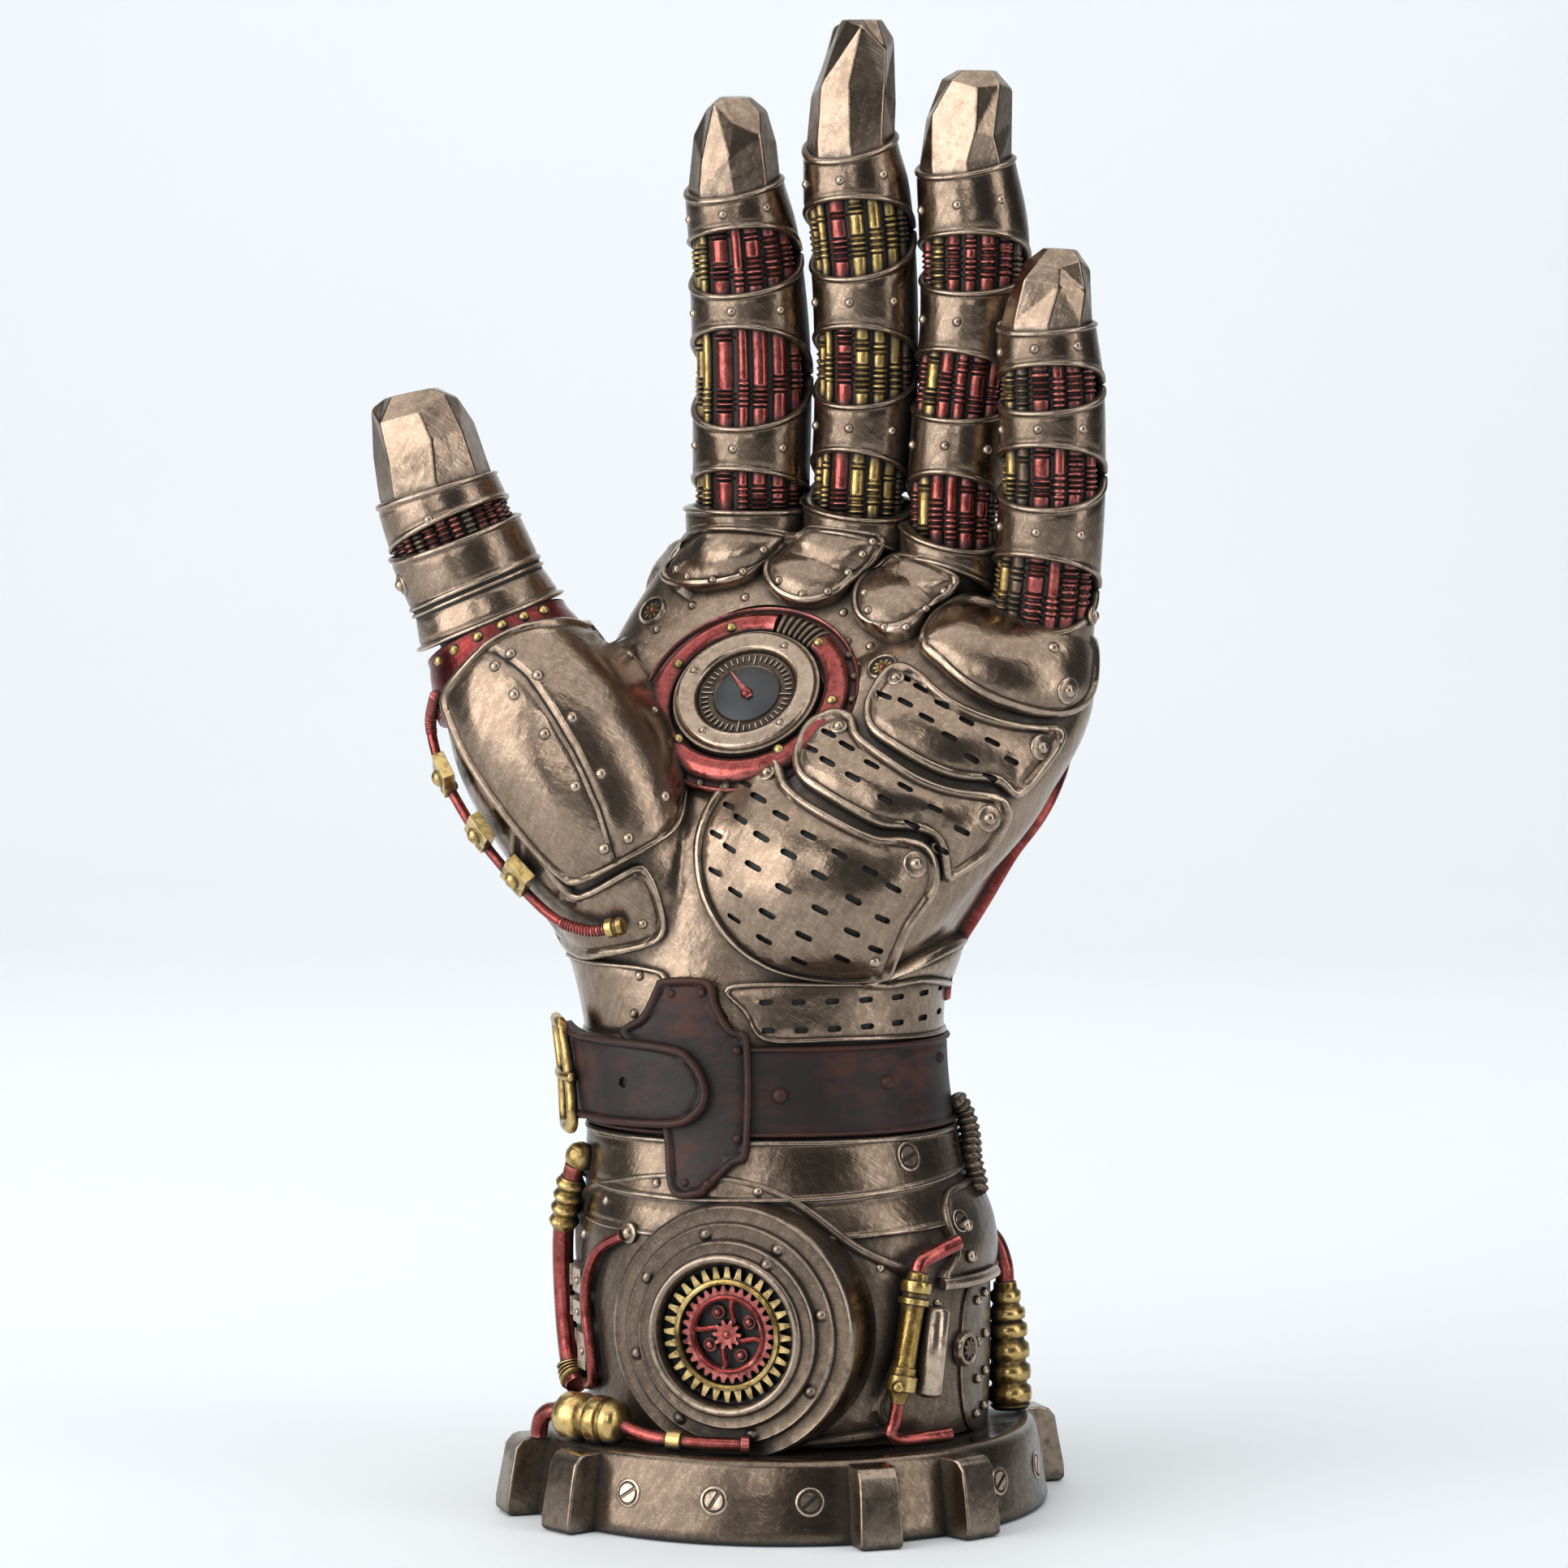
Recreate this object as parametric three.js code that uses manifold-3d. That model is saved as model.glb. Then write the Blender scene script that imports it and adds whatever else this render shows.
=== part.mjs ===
// An armoured gauntlet of a left hand, raised with its palm to the front, on a gear-shaped stand.
// Millimetres, +Z up. The origin is the centre of the stand's underside, -Y is the side the palm faces
// and the thumb is towards -X. Armour plates are separate shells that follow the hand and the cuff.
import * as THREE from "three";
import { mergeVertices } from "three/addons/utils/BufferGeometryUtils.js";
import Module from "manifold-3d";

const wasm = await Module();
wasm.setup();

// Driving dimensions.
const CLEARANCE = 0.35; // between neighbouring pieces
const PLATE = 1.5; // thickness of the armour plates
const WALL = 4; // wall of the cuff and the hand shell
const LEATHER = 1.7; // thickness of the strap
const STAND_HEIGHT = 16;
const STAND_RADIUS = 52.6;
const STAND_TOP_RADIUS = 49.5;
const STRAP_LOW = 75.5;
const STRAP_HIGH = 93;
const SEAM_HEIGHT = 84.3; // where the cuff ends and the hand begins, under the strap
const HOLLOW_TOP = 140; // how far an arm's hollow reaches into the hand
const PAD_THICKNESS = 3.6; // of the knuckle pads
// The knuckle pads lie in front of these depths.
const PAD_BACK = { index: 18, middle: 14, ring: 8, little: 1 };
const HAND_TURN = 20; // degrees that the palm turns towards -X
const BODY_SIDES = 30;
const FINGER_SIDES = 14;

// Sections of the arm: height, centre x and y, half width, half depth, turn in degrees, squareness
// of the outline (2 is an ellipse) and slope of the section down towards +X in degrees.
const ARM = [
  [12, 1.5, 0, 38.3, 36.5, 0, 2.1, 0],
  [24, 1.2, 0, 39.2, 37.5, 0, 2.1, 0],
  [40, 0.5, 0, 40, 38.5, 0, 2.1, 0],
  [56, 0, 0, 39.6, 37, 0, 2.1, 0],
  [66, -1.5, 0, 36.4, 33.5, 0, 2.1, 0],
  [76, -2.5, 0, 34.6, 31, 0, 2.1, 0],
  [86, -3.5, 0, 34.2, 29.3, 0, 2.1, 0],
  [98, -4.4, 0, 34.9, 28.5, 4, 2.1, 0],
  [108, -5, 0, 36.8, 27.5, 8, 2.2, 0],
  [120, -4, -0.5, 42.5, 27, 14, 2.3, 1],
  [135, 0, 0.5, 47, 26, 18, 2.4, 3],
  [150, 7, 5, 49.5, 22.5, 20, 2.5, 7],
  [165, 14.6, 10.5, 48, 18, 20, 2.6, 11],
  [177, 19.2, 13, 44, 15, 20, 2.6, 13.5],
  [183, 19.6, 14, 41, 11.5, 20, 2.4, 13.5],
];

// Limbs: position along the limb, centre x, y and z, half width and half depth.
const THUMB_ROOT = [
  [0, -18, -2, 105, 13, 15],
  [1, -26.5, -6, 119, 17, 18],
  [2, -36.5, -8, 135, 19, 19],
  [3, -46, -7, 151, 19.2, 18.5],
  [4, -52.5, -4, 163, 16, 16],
  [5, -56.8, -2, 172, 13, 13],
];
const PALM_HEEL = [
  [0, -1, -11, 111, 15, 16],
  [1, 7, -14, 124, 24, 20],
  [2, 19, -10, 138, 25, 19],
  [3, 32, -4, 152, 24.5, 18],
  [4, 42, 1, 163, 19, 15],
  [5, 46, 7, 173, 8, 6],
];

// Each finger: rows of a limb by height, the openings in its bands as height and half height, the
// height of its cap's foot at the front, how much higher that foot is behind, and the cap's top.
const FINGERS = {
  index: {
    rows: [
      [184, -6.5, 20, 184, 11.4, 11],
      [200, -6.6, 20, 200, 11.8, 11.4],
      [226, -6.5, 19, 226, 12, 11.4],
      [249, -8, 17, 249, 11.2, 10.6],
      [262, -10, 15.5, 262, 9.8, 9.4],
      [278.6, -10, 13.5, 278.6, 7.4, 7.4],
    ],
    openings: [[246.6, 6.4], [223, 10], [197.5, 6.5]],
    capFoot: 259.5,
    capRise: 4,
    foot: 184,
    collar: [188, 196],
  },
  middle: {
    rows: [
      [182, 15, 13.5, 182, 9.8, 10],
      [200, 15.3, 13.5, 200, 10, 10],
      [217, 16.3, 13, 217, 10.3, 10.2],
      [241, 16.1, 11.5, 241, 10.5, 10.4],
      [259, 14.4, 10, 259, 10.7, 10],
      [269, 13.2, 9, 269, 9.4, 9],
      [293.4, 13.2, 7, 293.4, 8.4, 7.6],
    ],
    openings: [[250.7, 7.6], [225, 7.6], [200, 7.5]],
    capFoot: 266.5,
    capRise: 6,
    foot: 182,
    collar: [187, 195.5],
  },
  ring: {
    rows: [
      [176, 34, 6.4, 176, 9.5, 9.6],
      [199, 34.2, 6.4, 199, 9.7, 9.7],
      [217, 35.6, 7, 217, 10.1, 10],
      [233, 37.2, 6, 233, 10.3, 10],
      [250, 37.6, 5, 250, 11, 10],
      [266, 35.8, 4, 266, 9.7, 9],
      [283, 36, 2.5, 283, 8.2, 7.4],
    ],
    openings: [[245.2, 5.6], [220.6, 6.8], [195.5, 7]],
    capFoot: 263,
    capRise: 4,
    foot: 176,
    collar: [180, 189],
  },
  little: {
    rows: [
      [168, 50.5, -2.5, 168, 11.2, 10.4],
      [185, 51.9, -6.6, 185, 11, 10],
      [201, 52.8, -8.5, 201, 10.9, 10],
      [220, 52.5, -9.5, 220, 10.7, 10],
      [232.5, 51.3, -10, 232.5, 9.6, 9.2],
      [247.4, 52, -11, 247.4, 7.6, 7],
    ],
    openings: [[220.3, 4.3], [203.2, 5.6], [181.5, 6.5]],
    capFoot: 231.5,
    capRise: 2.5,
    foot: 168,
  },
};
const THUMB_LEAN = 19; // degrees that the thumb leans towards -X
const THUMB_FOOT = [-57.2, -2, 172.6]; // where the thumb leaves its root
const THUMB_LENGTH = 49.5;
const THUMB_TURN = -12; // the thumb's inner side looks a little towards +X
const THUMB_ROWS = [[0, 0, 13], [10, -0.6, 13], [20, -1.4, 12.8], [31, -1.6, 12], [50, 0.6, 9.5]];

// The gear boss on the cuff and the dial in the palm: centre and outward direction.
const BOSS = { centre: [-9.4, -36.2, 38.6], normal: [-0.36, -0.93, 0] };
const DIAL = { centre: [-7, -9.6, 159.6], normal: [-0.25, -0.74, 0.625] };

// Materials.
const metal = (colour, roughness) =>
  new THREE.MeshStandardMaterial({ color: colour, metalness: 0.9, roughness });
const BRONZE = metal(0x8a7660, 0.35);
const DARK_BRONZE = metal(0x5d4d3c, 0.4);
const RED_COPPER = metal(0xa8474a, 0.4);
const GOLD = metal(0xa58a3c, 0.4);
const STRAP_LEATHER = new THREE.MeshStandardMaterial({ color: 0x3a2f2d, metalness: 0, roughness: 0.55 });

// ---------------------------------------------------------------- solids

// A closed geometry as a manifold solid.
function solid(geometry) {
  const bare = geometry.index ? geometry.toNonIndexed() : geometry.clone();
  bare.deleteAttribute("normal");
  bare.deleteAttribute("uv");
  const merged = mergeVertices(bare, 1e-3);
  return new wasm.Manifold(
    new wasm.Mesh({
      numProp: 3,
      vertProperties: merged.attributes.position.array,
      triVerts: new Uint32Array(merged.index.array),
    }),
  );
}

// A manifold solid as a geometry.
function geometryOf(manifold) {
  const mesh = manifold.getMesh();
  const positions = new Float32Array(mesh.numVert * 3);
  for (let i = 0; i < mesh.numVert; i++) {
    positions.set(mesh.vertProperties.subarray(i * mesh.numProp, i * mesh.numProp + 3), i * 3);
  }
  return new THREE.BufferGeometry()
    .setAttribute("position", new THREE.BufferAttribute(positions, 3))
    .setIndex(new THREE.BufferAttribute(mesh.triVerts, 1));
}

// The largest of a solid's separate bodies: a cut can leave slivers behind.
function largest(manifold) {
  return manifold.decompose().reduce((best, one) => (one.volume() > best.volume() ? one : best));
}

const root = new THREE.Group();

function addPiece(name, manifold, material) {
  const mesh = new THREE.Mesh(geometryOf(largest(manifold).simplify(0.1)), material);
  mesh.name = name;
  root.add(mesh);
  return mesh;
}

function unite(manifolds) {
  return manifolds.reduce((whole, one) => whole.add(one));
}

// Rings of points joined into one closed surface: capped at both ends, or joined end to end.
function ringSurface(rings, joined = false) {
  const count = rings[0].length;
  const vertices = rings.flat();
  const faces = [];
  const last = joined ? rings.length : rings.length - 1;
  for (let i = 0; i < last; i++) {
    for (let j = 0; j < count; j++) {
      const here = i * count;
      const next = ((i + 1) % rings.length) * count;
      const k = (j + 1) % count;
      faces.push(here + j, here + k, next + k, here + j, next + k, next + j);
    }
  }
  if (!joined) {
    for (const [ring, start, flip] of [[rings[0], 0, true], [rings.at(-1), (rings.length - 1) * count, false]]) {
      const centre = ring.reduce((sum, p) => sum.add(p), new THREE.Vector3()).divideScalar(count);
      const hub = vertices.push(centre) - 1;
      for (let j = 0; j < count; j++) {
        const k = (j + 1) % count;
        faces.push(hub, start + (flip ? k : j), start + (flip ? j : k));
      }
    }
  }
  return new THREE.BufferGeometry().setFromPoints(vertices).setIndex(faces);
}

// A row of a table at any value of its first column, on a smooth curve through the rows.
function rowAt(table, key) {
  const last = table.length - 1;
  const clamped = Math.min(Math.max(key, table[0][0]), table[last][0]);
  let i = 0;
  while (i < last - 1 && clamped > table[i + 1][0]) i++;
  const [before, a, b, after] = [table[Math.max(i - 1, 0)], table[i], table[i + 1], table[Math.min(i + 2, last)]];
  const span = b[0] - a[0];
  const t = (clamped - a[0]) / span;
  return a.map((value, column) => {
    if (column === 0) return clamped;
    const slopeA = ((b[column] - before[column]) / (b[0] - before[0])) * span;
    const slopeB = ((after[column] - a[column]) / (after[0] - a[0])) * span;
    const h = t * t * (3 - 2 * t);
    return value * (1 - h) + b[column] * h + slopeA * t * (1 - t) ** 2 - slopeB * t * t * (1 - t);
  });
}

const rad = THREE.MathUtils.degToRad;
const spread = (from, to, steps) =>
  Array.from({ length: steps + 1 }, (_, i) => from + ((to - from) * i) / steps);
const squared = (value, power) => Math.sign(value) * Math.abs(value) ** (2 / power);

// A point of the arm's surface. Angle 0 is the palm's side and a quarter turn is towards +X.
function armPoint(z, angle, grow = 0) {
  const [, cx, cy, width, depth, turn, power, slope] = rowAt(ARM, z);
  const across = (width + grow) * squared(Math.sin(angle), power);
  const forward = (depth + grow) * squared(Math.cos(angle), power);
  const t = rad(turn);
  return new THREE.Vector3(
    cx + across * Math.cos(t) - forward * Math.sin(t),
    cy - across * Math.sin(t) - forward * Math.cos(t),
    z - across * Math.tan(rad(slope)),
  );
}

// A point of a limb's surface, round a centre line that runs through the limb's rows.
function limbPoint(rows, turn, along, angle, grow = 0) {
  const [, x, y, z, width, depth] = rowAt(rows, along);
  const step = 0.01 * (rows.at(-1)[0] - rows[0][0]);
  const ahead = rowAt(rows, along + step);
  const behind = rowAt(rows, along - step);
  const axis = new THREE.Vector3(ahead[1] - behind[1], ahead[2] - behind[2], ahead[3] - behind[3]).normalize();
  const front = new THREE.Vector3(-Math.sin(rad(turn)), -Math.cos(rad(turn)), 0);
  front.addScaledVector(axis, -front.dot(axis)).normalize();
  const side = new THREE.Vector3().crossVectors(axis, front);
  return new THREE.Vector3(x, y, z)
    .addScaledVector(side, (width + grow) * Math.sin(angle))
    .addScaledVector(front, (depth + grow) * Math.cos(angle));
}

const angles = (sides) => Array.from({ length: sides }, (_, j) => (j * 2 * Math.PI) / sides);
const ring = (point, along, sides, grow) => angles(sides).map((angle) => point(along, angle, grow));

// A solid that fills a surface from one end to the other.
function filled(point, stations, sides, grow = 0) {
  return solid(ringSurface(stations.map((along) => ring(point, along, sides, grow))));
}

// A shell round a surface between two edges, each a height that varies with the angle.
function band(point, low, high, inner, outer, sides, steps = 1) {
  const wall = (grow, up) =>
    spread(0, 1, steps).map((t) =>
      angles(sides).map((angle) => {
        const share = up ? t : 1 - t;
        return point(low(angle) * (1 - share) + high(angle) * share, angle, grow);
      }),
    );
  return solid(ringSurface([...wall(outer, true), ...wall(inner, false)], true));
}

// ---------------------------------------------------------------- arm, hand and stand

const rootPoint = (along, angle, grow) => limbPoint(THUMB_ROOT, 0, along, angle, grow);
const heelPoint = (along, angle, grow) => limbPoint(PALM_HEEL, HAND_TURN, along, angle, grow);

// The whole form from the stand to the knuckles, grown outwards by a distance.
function armForm(grow) {
  const heights = [12, 26, 40, 50, 58, 66, 74, 84, 96, 106, 116, 126, 138, 150, 162, 174, 180, 183 + grow];
  const arm = filled(armPoint, heights, BODY_SIDES, grow);
  const thumbRoot = filled(rootPoint, spread(0, 5, 8), 22, grow);
  const heel = filled(heelPoint, spread(0, 5, 8), 22, grow);
  return unite([arm, thumbRoot, heel]);
}

function block(low, high) {
  const size = high.map((value, i) => value - low[i]);
  return solid(
    new THREE.BoxGeometry(...size).translate(...low.map((value, i) => value + size[i] / 2)),
  );
}

// A turned solid from a profile of radius and height, on an axis through a centre.
function turned(profile, segments, { centre, normal }) {
  const geometry = new THREE.LatheGeometry(profile.map(([r, h]) => new THREE.Vector2(r, h)), segments);
  const turn = new THREE.Quaternion().setFromUnitVectors(
    new THREE.Vector3(0, 1, 0),
    new THREE.Vector3(...normal).normalize(),
  );
  geometry.applyQuaternion(turn).translate(...centre);
  return solid(geometry);
}

// A flat shape as thick as asked, on an axis through a centre, with its own "up" kept upright.
function facing(shape, thickness, lift, { centre, normal }) {
  const geometry = new THREE.ExtrudeGeometry(shape, { depth: thickness, bevelEnabled: false, curveSegments: 6 });
  geometry.translate(0, 0, lift);
  const out = new THREE.Vector3(...normal).normalize();
  const right = new THREE.Vector3().crossVectors(new THREE.Vector3(0, 0, 1), out).normalize();
  const up = new THREE.Vector3().crossVectors(out, right);
  geometry.applyMatrix4(new THREE.Matrix4().makeBasis(right, up, out)).translate(...centre);
  return solid(geometry);
}

const formAt = new Map();
function grownArm(grow) {
  if (!formAt.has(grow)) formAt.set(grow, armForm(grow));
  return formAt.get(grow);
}

// A prism with an outline drawn as seen from the front, between two depths.
function prism(outline, nearY, farY) {
  const shape = new THREE.Shape(outline.map(([x, z]) => new THREE.Vector2(x, z)));
  const geometry = new THREE.ExtrudeGeometry(shape, { depth: farY - nearY, bevelEnabled: false });
  return solid(geometry.rotateX(Math.PI / 2).translate(0, farY, 0));
}

// A plate that follows the arm between two distances from its surface, inside an outline.
function plate(outline, nearY, farY, inner, outer) {
  return prism(outline, nearY, farY).intersect(grownArm(outer)).subtract(grownArm(inner));
}

function gearShape(teeth, tip, root_, hole) {
  const shape = new THREE.Shape();
  const points = [];
  for (let i = 0; i < teeth; i++) {
    for (const [share, radius] of [[-0.32, root_], [-0.18, tip], [0.18, tip], [0.32, root_]]) {
      const a = ((i + share) * 2 * Math.PI) / teeth;
      points.push(new THREE.Vector2(radius * Math.cos(a), radius * Math.sin(a)));
    }
  }
  shape.setFromPoints(points);
  if (hole) {
    const bore = new THREE.Path();
    bore.absarc(0, 0, hole, 0, 2 * Math.PI, true);
    shape.holes.push(bore);
  }
  return shape;
}

function buildStand() {
  const upright = { centre: [0, 0, 0], normal: [0, 0, 1] };
  const body = turned(
    [[0, 0], [STAND_RADIUS, 0], [STAND_RADIUS, 2], [STAND_TOP_RADIUS + 0.8, STAND_HEIGHT - 1.2],
      [STAND_TOP_RADIUS - 0.6, STAND_HEIGHT], [STAND_TOP_RADIUS - 4, STAND_HEIGHT - 0.6], [0, STAND_HEIGHT - 0.6]],
    72,
    upright,
  );
  const teeth = [];
  const inner = STAND_TOP_RADIUS - 8;
  for (let pair = 0; pair < 4; pair++) {
    for (const offset of [18.6, 41]) {
      const side = new THREE.Shape(
        [[inner, 0], [58.6, 0], [58.6, 3], [56.4, 13.6], [55, 14.8], [inner, 15]].map((p) => new THREE.Vector2(...p)),
      );
      const tooth = new THREE.ExtrudeGeometry(side, { depth: 8.4, bevelEnabled: false });
      tooth.translate(0, 0, -4.2).rotateX(Math.PI / 2);
      tooth.rotateZ(rad(offset - 90 + 90 * pair));
      teeth.push(solid(tooth));
    }
  }
  addPiece("gear_stand", unite([body, ...teeth]), DARK_BRONZE);
}

function buildShells() {
  const hollow = filled(armPoint, [4, 20, 40, 56, 66, 76, 86, 98, 108, 120, 130, HOLLOW_TOP], 28, -WALL);
  const dialSeat = turned([[0, -1.2], [22.4, -1.2], [24.5, 9], [0, 9]], 40, DIAL);
  const form = grownArm(0);
  const cuff = form.intersect(block([-70, -70, STAND_HEIGHT], [70, 70, SEAM_HEIGHT - CLEARANCE]));
  addPiece("cuff_shell", cuff.subtract(hollow), BRONZE);
  const hand = form.intersect(block([-120, -90, SEAM_HEIGHT], [120, 90, 240]));
  addPiece("hand_shell", hand.subtract(hollow).subtract(dialSeat), BRONZE);
}

const fingerPoint = (finger) => (along, angle, grow) => limbPoint(finger.rows, HAND_TURN, along, angle, grow);

// ---------------------------------------------------------------- plates of the hand

const THENAR = [
  [-57, 170], [-50, 173], [-41, 173.2], [-34.5, 170], [-27.6, 162], [-22.8, 155], [-19.8, 147.5], [-19.6, 140.5],
  [-21.8, 134], [-27.5, 130.6], [-38.5, 125], [-42.8, 126.2], [-51, 135], [-59, 146], [-64, 155.5], [-64.5, 161],
];
const THUMB_HEEL = [
  [-60, 140], [-50, 134], [-41.5, 124], [-38.5, 123], [-29, 128], [-26, 126.4], [-23.7, 121], [-22.6, 116.2],
  [-23.7, 113], [-27, 111.6], [-34, 110], [-60, 108.5],
];
const VISORS = [
  [[-0.5, 147.2], [-5.6, 146.6], [-11.8, 142], [-15.8, 135.7], [-17, 129.5], [-15.8, 121.7], [-12.6, 115.5],
    [-7.2, 110], [-1, 107], [7, 105.8], [16, 105.8], [19.6, 107], [21.3, 111], [24, 117], [28.3, 123.2],
    [28.8, 128.2], [27, 132], [22.5, 133.5], [17.5, 133.6], [11.5, 136.2], [5.3, 139.6], [1.4, 142.8]],
  [[9.7, 156.6], [5.3, 154.2], [3, 150.4], [2.2, 147.5], [3, 144], [7.3, 140.8], [13, 137.6], [18.5, 135],
    [24, 134.6], [28.6, 132.6], [30, 125.4], [32.7, 126], [39, 130.6], [43, 137], [42.8, 140.4], [40, 141.6],
    [32.6, 142.6], [25.6, 145], [19.4, 149], [15, 152.4], [13.8, 156]],
  [[23, 165.8], [20, 164.6], [17, 160.6], [15.6, 157], [16.6, 153], [21, 149.8], [26.6, 146.6], [33, 144.2],
    [40.6, 143.2], [44.6, 140.6], [50, 145.6], [54, 151.2], [53, 154], [47.6, 154.6], [39.6, 156.2], [32, 159.6],
    [26.4, 164.4]],
];
const KNUCKLE_PADS = {
  index: [[-23, 181], [-22.4, 186], [-20.4, 190.4], [-12, 190.6], [-5, 189.4], [-2.8, 186.4], [-4.6, 182.6],
    [-9, 180.6], [-15, 179.6]],
  middle: [[-3.4, 183.4], [-0.9, 188.4], [3.4, 189.4], [12, 188], [18.6, 185.8], [17.4, 183], [13.4, 179.6],
    [8.6, 177], [3, 177.2], [-2.2, 180.2]],
  ring: [[13.8, 178.6], [16, 181.6], [20.4, 184.4], [27, 183], [33, 180.6], [32.2, 177.4], [28, 172.8],
    [22.9, 169.8], [17.6, 171.2], [14.4, 174.8]],
  little: [[26.6, 167], [27.6, 171], [31.6, 174], [36, 176.4], [42, 176.2], [52.4, 174.6], [60, 171], [61.6, 164.6],
    [60, 157], [53, 155.6], [44, 157], [35, 160.4], [29, 165.8]],
};

// The room that the knuckle pads take, all but one if it is named.
function padRoom(except) {
  const others = Object.entries(KNUCKLE_PADS).filter(([name]) => name !== except);
  return unite(
    others.map(([name, outline]) =>
      plate(grownOutline(outline, 0.4), -80, PAD_BACK[name] + 0.4, 0, PAD_THICKNESS + 2 * CLEARANCE),
    ),
  );
}

function buildHandPlates() {
  const near = -80;
  const low = CLEARANCE;
  const dialRoom = turned([[0, -2.5], [22.8, -2.5], [25, 9], [0, 9]], 36, DIAL);
  addPiece("thumb_heel_plate", plate(THUMB_HEEL, near, 8, low, low + PLATE), BRONZE);
  const ball = plate(THENAR, near, -4, 2 * low + PLATE, 2 * low + 2 * PLATE);
  addPiece("thumb_ball_plate", ball.subtract(dialRoom), BRONZE);
  VISORS.forEach((outline, i) => {
    const lame = plate(outline, near, -2, low, low + 2.6 * PLATE - 0.4 * i);
    addPiece("palm_lame_" + (i + 1), lame.subtract(dialRoom), BRONZE);
  });
  for (const [name, outline] of Object.entries(KNUCKLE_PADS)) {
    let pad = plate(outline, near, PAD_BACK[name], low, low + PAD_THICKNESS);
    if (FINGERS[name].collar) {
      const [foot, top] = FINGERS[name].collar;
      const collar = band(fingerPoint(FINGERS[name]), () => foot, () => top, -1.5, 0, FINGER_SIDES);
      pad = pad.add(collar.subtract(grownArm(low)).subtract(padRoom(name)));
    }
    addPiece("knuckle_pad_" + name, pad, BRONZE);
  }
  const slotted = [[-9.6, 104.8], [-8, 99], [-3.6, 93.9], [13, 93.7], [60, 93.9], [60, 104.8]];
  addPiece("wrist_slotted_plate", plate(slotted, near, 0, low, low + PLATE), BRONZE);
  const left = [[-60, 93.9], [-27.6, 93.9], [-25.9, 107.6], [-60, 107.6]];
  addPiece("wrist_left_plate", plate(left, near, 0, low, low + PLATE), BRONZE);
  const redBack = [[-18, 96], [70, 101], [75, 150], [70, 158], [-6, 170], [-20, 150]];
  addPiece("back_trim", plate(redBack, 3, 80, low, low + 2.2).subtract(padRoom()), RED_COPPER);
  const back = [[-14, 104], [26, 104], [42, 130], [46, 146], [40, 156], [-4, 164], [-15, 148]];
  addPiece("back_plate", plate(back, 6, 80, 2 * low + 2.2, 2 * low + 4.2), BRONZE);
  const knuckles = [[-27, 170], [-27, 186], [-22, 192], [60, 174], [70, 168], [70, 156], [64, 161], [-4, 172]];
  const collars = Object.values(FINGERS).map((finger) =>
    filled(fingerPoint(finger), spread(finger.foot, finger.foot + 16, 3), FINGER_SIDES, CLEARANCE),
  );
  const guard = plate(knuckles, 12, 80, low, low + 3).subtract(padRoom()).subtract(unite(collars));
  addPiece("knuckle_guard", guard, BRONZE);
}

// ---------------------------------------------------------------- dial, boss and gears

function buildDial() {
  const seat = -1.2 + CLEARANCE;
  const ringShape = new THREE.Shape();
  ringShape.absarc(0, 0, 20.8, rad(82), rad(407), false);
  ringShape.absarc(0, 0, 15.4, rad(407), rad(82), true);
  addPiece("dial_surround", facing(ringShape, 2.4, seat, DIAL), RED_COPPER);
  const profile = [[0, seat], [14.9, seat], [14.9, 2.2], [14, 3.2], [11.6, 3.2], [11, 1.6], [0, 1.6]];
  addPiece("dial_gauge", turned(profile, 40, DIAL), BRONZE);
}

function buildBoss() {
  const profile = [
    [0, -10], [25.8, -10], [25.4, -5.5], [24.4, 0.4], [24, 2], [21.2, 2.2], [20.9, 3.4], [18.2, 3.6], [17.8, 5.4],
    [16, 5.8], [15.6, 6.6], [14.2, 6.6], [14, 2], [0, 2],
  ];
  const drum = turned(profile, 40, BOSS).subtract(block([-60, -60, 0], [60, 0, STAND_HEIGHT + CLEARANCE]));
  addPiece("gear_boss", drum.subtract(grownArm(CLEARANCE)), BRONZE);
  addPiece("ring_gear", facing(gearShape(28, 13.4, 11.6, 9.9), 1.8, 2 + CLEARANCE, BOSS), GOLD);
  const spoked = gearShape(24, 9.5, 8.5, 0);
  for (let i = 0; i < 4; i++) {
    const window_ = new THREE.Path();
    const start = i * (Math.PI / 2) + 0.55;
    const end = start + Math.PI / 2 - 0.24;
    window_.absarc(0, 0, 7.2, start, end, false);
    window_.absarc(0, 0, 2.9, end - 0.1, start + 0.1, true);
    spoked.holes.push(window_);
  }
  addPiece("spoked_gear", facing(spoked, 1.6, 2 + CLEARANCE, BOSS), RED_COPPER);
}

// ---------------------------------------------------------------- cuff, strap and buckle

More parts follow.
